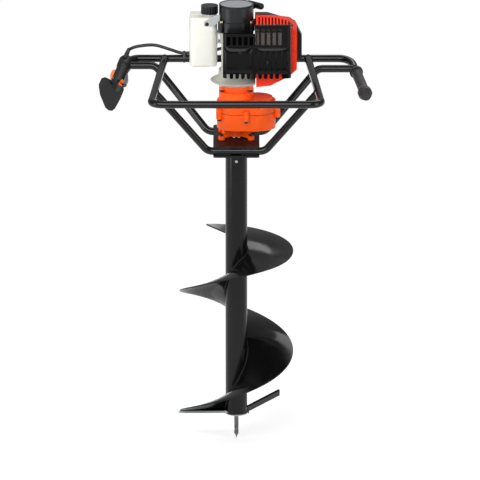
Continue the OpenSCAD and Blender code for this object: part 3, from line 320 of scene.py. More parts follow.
# Gloss enamel on the welded bit, a little uneven where it ran on the wound plate
BIT_ENAMEL = Finish("bit_enamel_black", "#090A0B", "#0E0D0E", 0.16, PEEL, 7.0, 0.03, ior=1.32, patch_mm=60)
# Orange enamel over die-cast aluminium: the cast skin shows through as soft grit under the gloss
CASE_ENAMEL = Finish(
    "cast_enamel_orange", "#FF5E04", "#F95402", 0.42, CAST, 2.4, 0.06, ior=1.36, patch_mm=28
)
# Bare die-cast aluminium, shot-blasted: pale warm grey, matt with a fine sparkle
BARE_CASTING = Finish(
    "bare_die_casting", "#C9C8BE", "#BBBAB0", 0.55, CAST, 1.2, 0.05, metallic=0.25, patch_mm=22
)
# ABS shroud, moulded glossy and coloured through: red-orange with a soft wave
SHROUD_ABS = Finish("shroud_abs_red_orange", "#FA3004", "#F02A02", 0.42, PEEL, 5.0, 0.02, ior=1.36)
# Glass-filled nylon guard, polished tool: deep black with sharp lights
GUARD_NYLON = Finish("guard_nylon_black", "#060607", "#09090A", 0.17, PEEL, 6.0, 0.03, ior=1.24)
# Recoil housing, satin black nylon with a blue cast
RECOIL_NYLON = Finish("recoil_nylon_black", "#0C0E11", "#111417", 0.32, MOULD, 0.8, 0.012, ior=1.42)
# The recoil's top disc: smooth pale alloy, whose light and dark patches of colour are painted reflections
# of the room
DISC_ALLOY_AND_REFLECTION = Finish(
    "disc_alloy_painted_reflection", "#B4B8BC", "#8A8E93", 0.34, PEEL, 14.0, 0.06, metallic=0.15, patch_mm=18
)
# Painted shade: a near-black, dull sheet behind the guard's left slots, standing for the shade inside the
# guard
SLOT_SHADE_BLACK = Finish("painted_slot_shade", "#030303", "#060505", 0.9, CAST, 1.0, 0.02, ior=1.15)
# Air cleaner, cap and levers: black polypropylene with an etched grain
COVER_PP = Finish("cover_polypropylene_black", "#0D0E10", "#131416", 0.4, MOULD, 0.9, 0.03, ior=1.38)
# Throttle handle: dark grey glass-filled nylon, coarse spark-eroded grain
HANDLE_NYLON = Finish("handle_nylon_grey", "#161616", "#1E1E1D", 0.5, MOULD, 1.1, 0.05, ior=1.34)
# Trigger: the same nylon, polished by the tool
TRIGGER_NYLON = Finish("trigger_nylon_grey", "#3A3A3B", "#444446", 0.36, MOULD, 0.9, 0.015)
# Lock lever, switch and knob: bright orange acetal
CONTROL_ACETAL = Finish("control_acetal_orange", "#FF7A12", "#F76A0A", 0.34, MOULD, 0.8, 0.012)
# Grip of moulded rubber: brown-black, matt, faintly bloomed
GRIP_RUBBER = Finish(
    "grip_rubber_brown_black", "#171414", "#1F1A1B", 0.62, MOULD, 1.3, 0.06, sheen=0.15, patch_mm=18
)
# Ignition boot: smooth soft rubber
BOOT_RUBBER = Finish("boot_rubber_black", "#151516", "#1C1C1E", 0.55, MOULD, 1.0, 0.03)
# PVC cable sleeve, extruded: black with a dull sheen
SLEEVE_PVC = Finish("sleeve_pvc_black", "#1B1C1E", "#232426", 0.38, PEEL, 1.8, 0.02)
# Blow-moulded polyethylene tank: milky, light passes into it, waxy gloss
TANK_PE = Finish(
    "tank_polyethylene_milky", "#F2F1EA", "#E9E8DE", 0.38, PEEL, 4.0, 0.03, subsurface=0.6, ior=1.51
)
# Black-oxide socket screws: dark, metallic, slightly oily
BOLT_OXIDE = Finish(
    "screw_black_oxide", "#26282B", "#35383C", 0.36, CAST, 0.8, 0.015, metallic=0.8, patch_mm=6
)
# Yellow-passivated zinc screws: pale gold drifting to a cool tint
ZINC_PLATE = Finish(
    "screw_yellow_zinc", "#D9C37C", "#C9C7A6", 0.28, CAST, 0.9, 0.01, metallic=1.0, patch_mm=5
)
# Turned and ground steel shafts and gears
TURNED_STEEL = Finish(
    "turned_steel", "#B4B7BA", "#A2A5A9", 0.3, GROUND, 0.7, 0.01, metallic=1.0, lines=(0, 0, 0)
)
# Sand-cast cylinder with fins, grey and dull
CYLINDER_ALLOY = Finish("cylinder_alloy", "#A8A7A1", "#97968F", 0.6, CAST, 1.5, 0.06, metallic=0.6)
# Pressed steel under heat-proof paint, burnt to a brown black
MUFFLER_PAINT = Finish("heat_proof_brown_black", "#3D3530", "#4A423C", 0.6, CAST, 1.0, 0.03)
# Pressed bracket: dull galvanised steel with soft spangle
BRACKET_ZINC = Finish(
    "bracket_galvanised", "#C4C8C6", "#AEB3B2", 0.4, MOULD, 6.0, 0.006, metallic=0.8, patch_mm=9
)
# Glazed alumina insulator
PLUG_CERAMIC = Finish("glazed_alumina", "#EDEAE2", "#E4E0D6", 0.14, PEEL, 3.0, 0.006, coat=0.4)
# Hardened drill point: grey steel with lengthwise grinding
DRILL_STEEL = Finish("drill_steel", "#7D7F81", "#55575A", 0.38, GROUND, 1.0, 0.03, metallic=1.0, patch_mm=8)
# Bead of bare weld metal: bright, rippled, straw and grey
WELD_METAL = Finish("bare_weld_metal", "#BFC1C2", "#9A9388", 0.3, CAST, 1.4, 0.04, metallic=1.0, patch_mm=7)
# Laid polyester starter cord, off-white with grey flecks
ROPE_BRAID = Finish("starter_braid", "#D8D3C4", "#A9A596", 0.75, CAST, 0.9, 0.12, sheen=0.3, patch_mm=2)
# Left cutting blade: enamel worn through to ground steel along its front edge
LEFT_BLADE = GroundEdge(
    "blade_enamel_ground_left",
    "#131416",
    "#1A1B1D",
    0.3,
    PEEL,
    5.0,
    0.04,
    coat=0.3,
    normal=(0.0, -1.0, 0.0),
    through=(0.0, 6.0, 0.0),
)


def put(name: str, data: bpy.types.ID) -> Thing:
    """Puts a new object into the scene.

    Args:
        name: Its name.
        data: The mesh, lamp or camera that it shows.

    Returns:
        The object.
    """
    made = bpy.data.objects.new(name, data)
    bpy.context.scene.collection.objects.link(made)
    return made


def piece(
    name: str, shape: Shape, finish: Finish | None = None, angle: float = 40.0, clean: bool = True
) -> Thing:
    """Makes an object at the origin from a shape in metres.

    Args:
        name: The piece's name.
        shape: Its shape, which is freed.
        finish: Its finish, if it has one.
        angle: The turn between faces past which their edge stays sharp, in degrees.
        clean: Whether doubled corners are joined and all faces turned outward.

    Returns:
        The new object.
    """
    if clean:
        bmesh.ops.remove_doubles(shape, verts=shape.verts, dist=1e-6)
        bmesh.ops.recalc_face_normals(shape, faces=shape.faces)
    for face in shape.faces:
        face.smooth = True
    for edge in shape.edges:
        edge.smooth = len(edge.link_faces) == 2 and edge.calc_face_angle(0.0) < radians(angle)
    mesh = bpy.data.meshes.new(name)
    shape.to_mesh(mesh)
    shape.free()
    if finish is not None:
        mesh.materials.append(finish.build())
    return put(name, mesh)


def settle(made: Thing, body: str = "frame", stands_for: Sequence[str] = ()) -> None:
    """Puts a finished piece on its body and reports it.

    Args:
        made: The piece.
        body: The body that carries it.
        stands_for: The CAD nodes that it replaces.
    """
    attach(made, body)
    if stands_for:
        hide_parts(*stands_for)
    LOG.info("%s: %d faces on %s", made.name, len(made.data.polygons), body)


def mm(x: float, y: float, z: float) -> Vector:
    """Returns a point given in millimetres, in metres."""
    return Vector((x, y, z)) * MM


def between(low: float, high: float, count: int) -> list[float]:
    """Returns evenly spaced values from one to another, both included."""
    return [low + (high - low) * k / count for k in range(count + 1)]


def angles(count: int) -> list[float]:
    """Returns the angles of even steps around a circle."""
    return [tau * k / count for k in range(count)]


def hoop(radius: float, height: float, count: int) -> list[Vector]:
    """Returns a closed, level circle about the part's axis, given in millimetres."""
    turn = angles(count) + [tau]
    return [mm(radius * cos(t), radius * sin(t), height) for t in turn]


def across(direction: Vector) -> Vector:
    """Returns a unit vector square to a direction."""
    helper = Vector((0, 0, 1)) if abs(direction.z) < 0.8 else Vector((1, 0, 0))
    return direction.cross(helper).normalized()


def loft(rings: Sequence[Sequence[Vector]], closed: bool = False) -> Shape:
    """Joins rings of as many points with faces.

    Args:
        rings: The rings in order.
        closed: Whether the last ring joins the first; otherwise both are capped.

    Returns:
        The shape.
    """
    shape = bmesh.new()
    loops = [[shape.verts.new(spot) for spot in ring] for ring in rings]
    count = len(loops[0])
    for low, high in zip(loops, loops[1:] + loops[:closed]):
        for k in range(count):
            j = (k + 1) % count
            shape.faces.new((low[k], low[j], high[j], high[k]))
    if not closed:
        shape.faces.new(loops[0][::-1])
        shape.faces.new(loops[-1])
    return shape


def sweep(path: Sequence[Vector], radius: float, sides: int) -> Shape:
    """Makes a round rod along a path, closed at both ends.

    Args:
        path: Its middle line.
        radius: Its radius.
        sides: The number of corners around it.

    Returns:
        The shape.
    """
    x = across((path[1] - path[0]).normalized())
    rings = []
    for i, spot in enumerate(path):
        ahead = (path[min(i + 1, len(path) - 1)] - path[max(i - 1, 0)]).normalized()
        x = (x - ahead * x.dot(ahead)).normalized()
        y = ahead.cross(x)
        rings.append([spot + radius * (x * cos(t) + y * sin(t)) for t in angles(sides)])
    return loft(rings)


def turned(profile: Sequence[Pair], start: Vector, aim: Vector, sides: int) -> Shape:
    """Makes a closed body of revolution.

    Args:
        profile: Radius and height pairs in millimetres, from the axis at one end to the axis at the other.
        start: The point on the axis at height 0.
        aim: The axis.
        sides: The number of steps around.

    Returns:
        The shape.
    """
    shape = bmesh.new()
    aim = aim.normalized()
    x = across(aim)
    y = aim.cross(x)
    rings: list[list[bmesh.types.BMVert]] = []
    for radius, height in profile:
        centre = start + aim * height * MM
        turn = angles(sides) if radius > 0 else [0.0]
        rings.append([shape.verts.new(centre + radius * MM * (x * cos(t) + y * sin(t))) for t in turn])
    for low, high in zip(rings, rings[1:]):
        for k in range(sides):
            j = (k + 1) % sides
            ring = (low[k % len(low)], low[j % len(low)], high[j % len(high)], high[k % len(high)])
            corners = list(dict.fromkeys(ring))
            if len(corners) > 2:
                shape.faces.new(corners)
    return shape


def prism(outline: Sequence[Vector], depth: Vector, into: Shape | None = None) -> Shape:
    """Pushes a flat outline into a plate.

    Args:
        outline: The corners in order.
        depth: The way and distance to push them.
        into: A shape that takes the plate, if there is one.

    Returns:
        The shape.
    """
    shape = into or bmesh.new()
    near = [shape.verts.new(p) for p in outline]
    far = [shape.verts.new(p + depth) for p in outline]
    shape.faces.new(near)
    shape.faces.new(far[::-1])
    for k in range(len(near)):
        j = (k + 1) % len(near)
        shape.faces.new((near[j], near[k], far[k], far[j]))
    return shape


class Repeats(Enum):
    """What a Geometry Nodes tree repeats along lines or on points, and the lengths that it takes."""

    BEADS = ("Pitch", "Width", "Height")
    SECTION = ("Width", "Height", "Edge")
    FORMS = ()


BEADS, SECTION, FORMS = Repeats


def section_nodes(tree: Tree, given: Outputs) -> Socket:
    """Adds nodes that sweep a rounded section along lines.

    Args:
        tree: The tree that they go into.
        given: The outputs of the tree's input node.

    Returns:
        The socket with the swept form.
    """
    line = add(tree, "GeometryNodeMeshToCurve", {"Mesh": given["Geometry"]})
    level = add(tree, "GeometryNodeSetCurveNormal", {"Curve": line[0]}, mode="Z_UP")
    plain = add(
        tree,
        "GeometryNodeCurvePrimitiveQuadrilateral",
        {"Width": given["Width"], "Height": given["Height"]},
        mode="RECTANGLE",
    )
    section = add(
        tree,
        "GeometryNodeFilletCurve",
        {"Curve": plain[0], "Radius": given["Edge"], "Count": 3},
        mode="POLY",
    )
    swept = {"Curve": level[0], "Profile Curve": section[0], "Fill Caps": True}
    return add(tree, "GeometryNodeCurveToMesh", swept)[0]


def bead_nodes(tree: Tree, given: Outputs) -> dict[str, Any]:
    """Adds nodes that space drops of weld along lines.

    Args:
        tree: The tree that they go into.
        given: The outputs of the tree's input node.

    Returns:
        What stands on which points, how turned and how large.
    """
    line = add(tree, "GeometryNodeMeshToCurve", {"Mesh": given["Geometry"]})
    even = add(
        tree, "GeometryNodeResampleCurve", {"Curve": line[0], "Length": given["Pitch"]}, mode="LENGTH"
    )
    tangent = add(tree, "GeometryNodeInputTangent", {})[0]
    turn = add(tree, "FunctionNodeAlignRotationToVector", {"Vector": tangent}, axis="X")
    sizes = {"X": given["Pitch"], "Y": given["Width"], "Z": given["Height"]}
    size = add(tree, "ShaderNodeCombineXYZ", sizes)
    ball = add(tree, "GeometryNodeMeshUVSphere", {"Segments": 8, "Rings": 5, "Radius": 1.0})
    drop = add(tree, "GeometryNodeSetShadeSmooth", {"Geometry": ball[0]})
    return {"Points": even[0], "Instance": drop[0], "Rotation": turn[0], "Scale": size[0]}


def form_nodes(tree: Tree, given: Outputs) -> dict[str, Any]:
    """Adds nodes that set one form on points, facing their own ways.

    Args:
        tree: The tree that they go into.
        given: The outputs of the tree's input node.

    Returns:
        What stands on which points, and how turned.
    """
    aim = add(tree, "GeometryNodeInputNamedAttribute", {"Name": "aim"}, data_type="FLOAT_VECTOR")
    turn = add(tree, "FunctionNodeAlignRotationToVector", {"Vector": aim[0]}, axis="Z")
    form = add(tree, "GeometryNodeObjectInfo", {"Object": given["Form"]})
    return {"Points": given["Geometry"], "Instance": form["Geometry"], "Rotation": turn[0]}


def repeat_tree(kind: Repeats) -> Tree:
    """Builds the Geometry Nodes tree of one kind, once.

    Args:
        kind: What it repeats.

    Returns:
        The tree, whose inputs are named for the sizes that they take.
    """
    found = bpy.data.node_groups.get(kind.name)
    if found is not None:
        return found
    tree = bpy.data.node_groups.new(kind.name, "GeometryNodeTree")
    sockets = {"Geometry": "NodeSocketGeometry", "Finish": "NodeSocketMaterial"}
    sockets |= {name: "NodeSocketFloat" for name in kind.value}
    if kind is FORMS:
        sockets["Form"] = "NodeSocketObject"
    for name, socket in sockets.items():
        tree.interface.new_socket(name, in_out="INPUT", socket_type=socket)
    tree.interface.new_socket("Geometry", in_out="OUTPUT", socket_type="NodeSocketGeometry")
    given = add(tree, "NodeGroupInput", {})
    if kind is SECTION:
        body = section_nodes(tree, given)
    else:
        rows = bead_nodes(tree, given) if kind is BEADS else form_nodes(tree, given)
        body = add(tree, "GeometryNodeInstanceOnPoints", rows)[0]
    real = add(tree, "GeometryNodeRealizeInstances", {"Geometry": body})[0]
    dressed = add(tree, "GeometryNodeSetMaterial", {"Geometry": real, "Material": given["Finish"]})
    add(tree, "NodeGroupOutput", {"Geometry": dressed[0]})
    return tree


def repeated(name: str, kind: Repeats, carrier: bpy.types.Mesh, finish: Finish, **values: Any) -> Thing:
    """Runs a tree on a carrier mesh and keeps its result as a plain mesh.

    Args:
        name: The piece's name.
        kind: The tree.
        carrier: The points or lines that it works on.
        finish: The piece's finish.
        values: The tree's other inputs, by name.

    Returns:
        The new object.
    """
    tree = repeat_tree(kind)
    worker = put(name + "_carrier", carrier)
    modifier = worker.modifiers.new("repeat", "NODES")
    modifier.node_group = tree
    values["Finish"] = finish.build()
    for item in tree.interface.items_tree:
        if item.in_out == "INPUT" and item.name in values:
            modifier[item.identifier] = values[item.name]
    graph = bpy.context.evaluated_depsgraph_get()
    mesh = bpy.data.meshes.new_from_object(worker.evaluated_get(graph))
    bpy.data.objects.remove(worker)
    if kind is not SECTION:
        mesh.name = name
        return put(name, mesh)
    shape = bmesh.new()
    shape.from_mesh(mesh)
    bpy.data.meshes.remove(mesh)
    return piece(name, shape, finish)


def laid(
    name: str, kind: Repeats, paths: Sequence[Sequence[Vector]], finish: Finish, lengths: Point
) -> Thing:
    """Lays beads or a section along open lines.

    Args:
        name: The piece's name.
        kind: The tree.
        paths: The points of each line.
        finish: The piece's finish.
        lengths: What the tree takes, in its own order, in millimetres.

    Returns:
        The new object.
    """
    points: list[Vector] = []
    edges: list[tuple[int, int]] = []
    for path in paths:
        first = len(points)
        points.extend(path)
        edges.extend((first + i, first + i + 1) for i in range(len(path) - 1))
    mesh = bpy.data.meshes.new("lines")
    mesh.from_pydata(points, edges, [])
    values = {key: length * MM for key, length in zip(kind.value, lengths)}
    return repeated(name, kind, mesh, finish, **values)


def saddle(
    start: Vector, aim: Vector, small: float, on: Vector, main: Vector, large: float
) -> list[Vector]:
    """Traces where a round branch meets a round main tube.

    Args:
        start: A point on the branch's middle line, outside the main tube.
        aim: The branch's direction, towards the main tube.
        small: The branch's radius.
        on: A point on the main tube's middle line.
        main: The main tube's direction.
        large: The main tube's radius.

    Returns:
        The closed line of the joint.
    """
    aim = aim.normalized()
    main = main.normalized()
    x = across(aim)
    y = aim.cross(x)
    line = []
    for t in between(0.0, tau, 40):
        foot = start + small * (x * cos(t) + y * sin(t)) - on
        flat, slope = foot - main * foot.dot(main), aim - main * aim.dot(main)
        a, b, c = slope.dot(slope), flat.dot(slope), flat.dot(flat) - large * large
        root = max(b * b - a * c, 0.0)
        line.append(on + foot + aim * ((-b - sqrt(root)) / a))
    return line


@dataclass
class Studio:
    """Camera, lamps, sky and floor, with sizes in metres and lamps in watts."""

    aim: Point = (0.010, 0.0, 0.5638)
    distance: float = 30.0
    elevation: float = 15.5
    frame_width: float = 480 / 365
    sensor: float = 36.0
    clip_end: float = 400.0
    lit_height: float = 0.8
    horizon: float = 0.2
    zenith: float = 0.46
    zenith_from: float = 0.9
    floor_half: float = 60.0
    floor_grey: float = 0.78
    floor_light: float = 0.45
    floor_fade: Pair = (0.5, 2.5)
    floor_white: float = 1.02

    def build(self) -> None:
        """Makes the whole studio."""
        self.camera()
        self.lamps()
        self.world()
        self.floor()

    def camera(self) -> None:
        """Sets a long lens at the photograph's angle."""
        lens = bpy.data.cameras.new("camera")
        lens.sensor_width = self.sensor
        lens.lens = self.sensor * self.distance / self.frame_width
        lens.clip_end = self.clip_end
        tilt = radians(self.elevation)
        eye = put("camera", lens)
        back = Vector((0.0, -cos(tilt), sin(tilt)))
        eye.location = Vector(self.aim) + back * self.distance
        eye.rotation_euler = (pi / 2 - tilt, 0.0, 0.0)
        bpy.context.scene.camera = eye

    def lamps(self) -> None:
        """Hangs a broad key that draws bands of light on the tubes, a fill, a strip and a back light."""
        rows = (
            ("key", (-1.1, -3.4, 3.1), (3.4, 2.6), 126.0),
            ("fill", (2.8, -2.2, 1.5), (1.8, 2.2), 36.0),
            ("strip_left", (-2.4, -1.3, 1.0), (0.9, 2.4), 20.0),
            ("back", (0.6, 1.9, 3.4), (1.8, 1.2), 26.0),
        )
        for name, place, size, power in rows:
            light = bpy.data.lights.new(name, "AREA")
            light.shape = "RECTANGLE"
            light.size, light.size_y = size
            light.energy = power
            lamp = put(name, light)
            lamp.location = place
            aim = Vector((0.0, 0.0, self.lit_height)) - Vector(place)
            lamp.rotation_euler = aim.to_track_quat("-Z", "Y").to_euler()

    def world(self) -> None:
        """Makes a plain grey sky that grows lighter overhead."""
        world = bpy.data.worlds.new("sky")
        tree = bare_tree(world)
        aim = add(tree, "ShaderNodeTexCoord", {})["Generated"]
        up = add(tree, "ShaderNodeSeparateXYZ", {"Vector": aim})["Z"]
        level = add(
            tree,
            "ShaderNodeMapRange",
            {
                "Value": up,
                "From Min": 0.0,
                "From Max": self.zenith_from,
                "To Min": self.horizon,
                "To Max": self.zenith,
            },
        )
        glow = add(tree, "ShaderNodeBackground", {"Color": WHITE, "Strength": level[0]})
        add(tree, "ShaderNodeOutputWorld", {"Surface": glow[0]})
        bpy.context.scene.world = world

    def floor(self) -> None:
        """Lays a floor that keeps the shadow near the part and is plain white to the camera far off."""
        h = self.floor_half
        mesh = bpy.data.meshes.new("floor")
        mesh.from_pydata([(-h, -h, 0), (h, -h, 0), (h, h, 0), (-h, h, 0)], [], [(0, 1, 2, 3)])
        material = bpy.data.materials.new("studio_floor_white")
        tree = bare_tree(material)
        seen = add(tree, "ShaderNodeLightPath", {})
        clear = seen["Is Camera Ray"]
        for ray in ("Is Transmission Ray", "Is Glossy Ray"):
            clear = add(tree, "ShaderNodeMath", {0: clear, 1: seen[ray]}, operation="MAXIMUM")[0]
        grey = self.floor_grey
        matt = add(tree, "ShaderNodeBsdfDiffuse", {"Color": (grey, grey, grey, 1.0)})[0]
        place = add(tree, "ShaderNodeTexCoord", {})["Object"]
        far = add(tree, "ShaderNodeVectorMath", {0: place}, operation="LENGTH")["Value"]
        low, high = self.floor_fade
        share = add(tree, "ShaderNodeMapRange", {"Value": far, "From Min": low, "From Max": high})[0]
        glow = add(tree, "ShaderNodeEmission", {"Color": WHITE, "Strength": self.floor_light})[0]
        near = add(tree, "ShaderNodeAddShader", {0: matt, 1: glow})[0]
        white = add(tree, "ShaderNodeEmission", {"Color": WHITE, "Strength": self.floor_white})[0]
        lit = add(tree, "ShaderNodeMixShader", {0: share, 1: near, 2: white})[0]
        mixed = add(tree, "ShaderNodeMixShader", {0: clear, 1: matt, 2: lit})
        add(tree, "ShaderNodeOutputMaterial", {"Surface": mixed[0]})
        mesh.materials.append(material)
        floor = put("floor", mesh)


@dataclass
class ThrottleCable:
    """The sleeved cable from the throttle handle over the back bar to the carburettor, in millimetres.

    The route repeats the source's: out of the handle, over the bar's corner, along the bar, to the end.
    """

    diameter: float = 9.0
    steps: int = 14
    sides: int = 20
    handle: Point = (-311.05, 188.97, 1000.49)
    run: Point = (-0.22093, -0.92054, -0.32219)
    rise: Point = (0.0, -0.33035, 0.94387)
    above: float = 17.5
    behind: float = 46.05
    straight: float = 20.0
    corner: Point = (-300.0, 235.0, 1016.6)
    arch: tuple[Point, ...] = (
        (28, 16, 30), (74, 8, 36), (116, 1, 26), (146, 0, 16.4), (172, 0, 15.8), (203, -13, 20.4)
    )
    end: Point = (56.95, 65.0, 1112.6)
    approach: tuple[Point, ...] = ((-102, 110, -53), (-57, 53, -21), (-18, 0, 0), (0, 0, 0))
    boot_r: float = 6.3
    boot_l: float = 24.0
    adjuster: tuple[Pair, ...] = ((0, 0), (6.4, 0), (6.4, 5), (5.6, 6), (5.6, 15), (4.6, 16), (0, 16))

    def route(self) -> list[Vector]:
        """Returns the points that the cable passes, in metres."""
        run, rise = Vector(self.run), Vector(self.rise)
        first = Vector(self.handle) + self.above * rise - self.behind * run
        points = [first, first - self.straight * run]
        points += [Vector(self.corner) + Vector(p) for p in self.arch]
        points += [Vector(self.end) + Vector(p) for p in self.approach]
        return [p * MM for p in points]

    def path(self) -> list[Vector]:
        """Returns one smooth curve through the route."""
        route = self.route()
        last = len(route) - 1
        path = []
        for i in range(last):
            a, b, c, d = (route[min(max(j, 0), last)] for j in (i - 1, i, i + 1, i + 2))
            for step in range(self.steps):
                k = step / self.steps
                bend = 2 * b + (c - a) * k + (2 * a - 5 * b + 4 * c - d) * k**2
                path.append(0.5 * (bend + (3 * b - a - 3 * c + d) * k**3))
        return path + [route[-1]]

    def boot(self) -> list[Pair]:
        """Returns the profile of the tapered boot with its five grooves."""
        profile = [(0.0, 0.0), (self.boot_r, 0.0)]
        for k in range(5):
            z, r = 3.0 + 4.0 * k, self.boot_r - 0.28 * k
            profile += [(r, z), (r - 0.9, z + 0.6), (r - 0.9, z + 1.6), (r - 0.2, z + 2.2)]
        return profile + [(4.9, self.boot_l), (0.0, self.boot_l)]

    def build(self) -> None:
        """Makes the sleeve, the boot at the handle and the adjuster at the carburettor."""
        path = self.path()
        rod = sweep(path, self.diameter / 2 * MM, self.sides)
        sleeve = piece("cable_sleeve", rod, SLEEVE_PVC)
        settle(sleeve, stands_for=["throttle_cable"])
        boot = turned(self.boot(), path[0], -Vector(self.run), 32)
        settle(piece("cable_boot", boot, BOOT_RUBBER, 30))
        nut = turned(self.adjuster, path[-1], mm(-1, 0, 0), 6)
        settle(piece("cable_adjuster", nut, ZINC_PLATE, 20))


@dataclass
class StarterRope:
    """The laid rope between the recoil housing and its handle, in millimetres along its pull.

    Each ring of its middle, from start to end, carries its share of the pull; the hidden ends carry none
    and all of it.
    """

    outlet: Point = (33.234, 33.234, 1206.6)
    tilt: float = 20.0
    diameter: float = 4.0
    strands: int = 3
    travel: float = 600.0
    lay: float = 16.0
    groove: float = 0.1
    hidden: Pair = (-12.0, 19.0)
    start: float = -6.0
    end: float = 6.0
    rings: int = 240
    sides: int = 18

    def spots(self) -> list[Pair]:
        """Returns the place of each ring and its share of the pull, even when the rope is drawn out."""
        spots = [(self.hidden[0], 0.0)]
        for share in between(0.0, 1.0, self.rings):
            t = 0.5 - sin(asin(1 - 2 * share) / 3)
            spots.append((self.start + (self.end - self.start) * t, share))
        return spots + [(self.hidden[1], 1.0)]

    def build(self) -> None:
        """Makes the rope between the housing and the handle."""
        tilt, half = radians(self.tilt), sqrt(0.5)
        pull = Vector((cos(tilt) * half, cos(tilt) * half, sin(tilt)))
        outlet = mm(*self.outlet)
        x = across(pull)
        y = pull.cross(x)
        loops = []
        for along, share in self.spots():
            twist = tau * share * self.travel / self.lay
            loop = []
            for t in angles(self.sides):
                ridge = 1 - self.groove + self.groove * cos(self.strands * t - twist)
                out = self.diameter / 2 * ridge * (x * cos(t) + y * sin(t))
                loop.append(outlet + (pull * along + out) * MM)
            loops.append(loop)
        rope = piece("starter_rope_laid", loft(loops), ROPE_BRAID, clean=False)
        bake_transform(rope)
        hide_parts("starter_rope")
        LOG.info("%s: %d faces between frame and starter_grip", rope.name, len(rope.data.polygons))


@dataclass
class FrameWelds:
    """Weld beads where the frame's tubes meet, in millimetres.

    Each side arm of the front loop runs from a front corner to the back bar; the front cradle's legs
    meet it partway, and the rear cradle's right leg ends at the back bar's bend.
    """

    radius: float = 10.5
    bead: Point = (2.6, 2.6, 1.9)
    front: Point = (232.0, -235.0, 1009.6)
    back: Point = (197.0, 235.0, 1016.6)
    hang: float = 0.27
    cradle: Point = (78.1, -104.0, 844.05)
    knee: Point = (223.0, 185.2, 1000.5)
    knee_end: float = 325.25
    bend: Point = (0.2103, -0.9303, -0.3005)
    deck_out: float = 8.2
    deck_levels: Pair = (852.6, 835.5)
    deck_seams: tuple[Pair, ...] = ((-56.0, -16.0), (16.0, 56.0))

    def joints(self) -> list[list[Vector]]:
        """Traces every welded joint of the frame.

        Returns:
            A line of points for each.
        """
        r = self.radius * MM
        lines = []
        for s in (-1, 1):
            front, back, low = (mm(p[0] * s, p[1], p[2]) for p in (self.front, self.back, self.cradle))
            lines.append(saddle(front, back - front, r, back, Vector((1, 0, 0)), r))
            hang = front + self.hang * (back - front)
            lines.append(saddle(low, hang - low, r, hang, back - front, r))
        knee, end = mm(*self.knee), mm(self.knee_end, *self.knee[1:])
        lines.append(saddle(knee, end - knee, r, end, Vector(self.bend), r))
        tube_y = abs(self.cradle[1])
        for side in (-1, 1):
            y = side * (tube_y + self.deck_out)
            for z in self.deck_levels:
                lines += [[mm(x, y, z) for x in between(a, b, 8)] for a, b in self.deck_seams]
        return lines

    def build(self) -> None:
        """Runs the beads along the joints."""
        settle(laid("frame_welds", BEADS, self.joints(), FRAME_ENAMEL, self.bead))


@dataclass
class Bit:
    """The wound flight and the weld beads of the auger bit, in millimetres and turns."""

    tube_r: float = 30.0
    foot: float = 78.0
    rise: float = 342.0
    flatten: float = 230.0
    even: float = 1.15
    bend: float = 0.2
    turns: float = 1.84
    plate: float = 4.0
    plate_edge: float = 0.8
    root_r: float = 30.1
    rim_r: float = 156.0
    steps: int = 460
    seam_steps: int = 180
    seam_short: float = 0.02
    seam_out: float = 1.2
    seam_lift: float = 1.0
    seam_bead: Point = (3.2, 2.6, 2.6)
    foot_bead: Point = (2.8, 2.4, 2.2)

    def level(self, turn: float) -> float:
        """Returns the height of the flight's middle after some turns."""
        marks = (self.even, self.even + self.bend)
        early, late = (max(0.0, turn - mark) ** 2 / (2 * self.bend) for mark in marks)
        return self.foot + self.rise * turn - self.flatten * (early - late)

    def wind(self, turn: float, radius: float, lift: float = 0.0) -> Vector:
        """Returns a point on the flight.

        Args:
            turn: The turns from its foot.
            radius: The distance from the axis.
            lift: The height above its middle.
        """
        angle = pi + tau * turn
        return mm(radius * cos(angle), radius * sin(angle), self.level(turn) + lift)

    def seam(self, side: int) -> list[Vector]:
        """Traces the flight's root on its upper face, side 1, or its lower face, side -1."""
        turns = between(self.seam_short, self.turns - self.seam_short, self.seam_steps)
        lift = side * (self.plate / 2 + self.seam_lift)
        return [self.wind(turn, self.tube_r + self.seam_out, lift) for turn in turns]

    def flight(self) -> None:
        """Winds the flight as one plate with softened edges along its middle line."""
        middle = (self.root_r + self.rim_r) / 2
        line = [self.wind(turn, middle) for turn in between(0.0, self.turns, self.steps)]
        section = (self.rim_r - self.root_r, self.plate, self.plate_edge)
        wound = laid("flight_plate", SECTION, [line], BIT_ENAMEL, section)
        settle(wound, "bit", ["flight"])

    def build(self) -> None:
        """Makes the flight, the painted seams along it and the bare ones at the foot."""
        self.flight()
        seams = [self.seam(1), self.seam(-1)]
        painted = laid("flight_welds", BEADS, seams, BIT_ENAMEL, self.seam_bead)
        settle(painted, "bit")
        tube_end, drill_stem = hoop(28.4, 71.6, 48), hoop(7.4, 71.4, 24)
        blade = [mm(x, 10.5, 75.6) for x in between(-34.0, -146.0, 30)]
        heel = [mm(33.0, y, z) for y, z in zip(between(6.0, -10.0, 12), between(79.0, 73.0, 12))]
        foot = [tube_end, drill_stem, blade, heel]
        bare = laid("foot_welds", BEADS, foot, WELD_METAL, self.foot_bead)
        settle(bare, "bit")


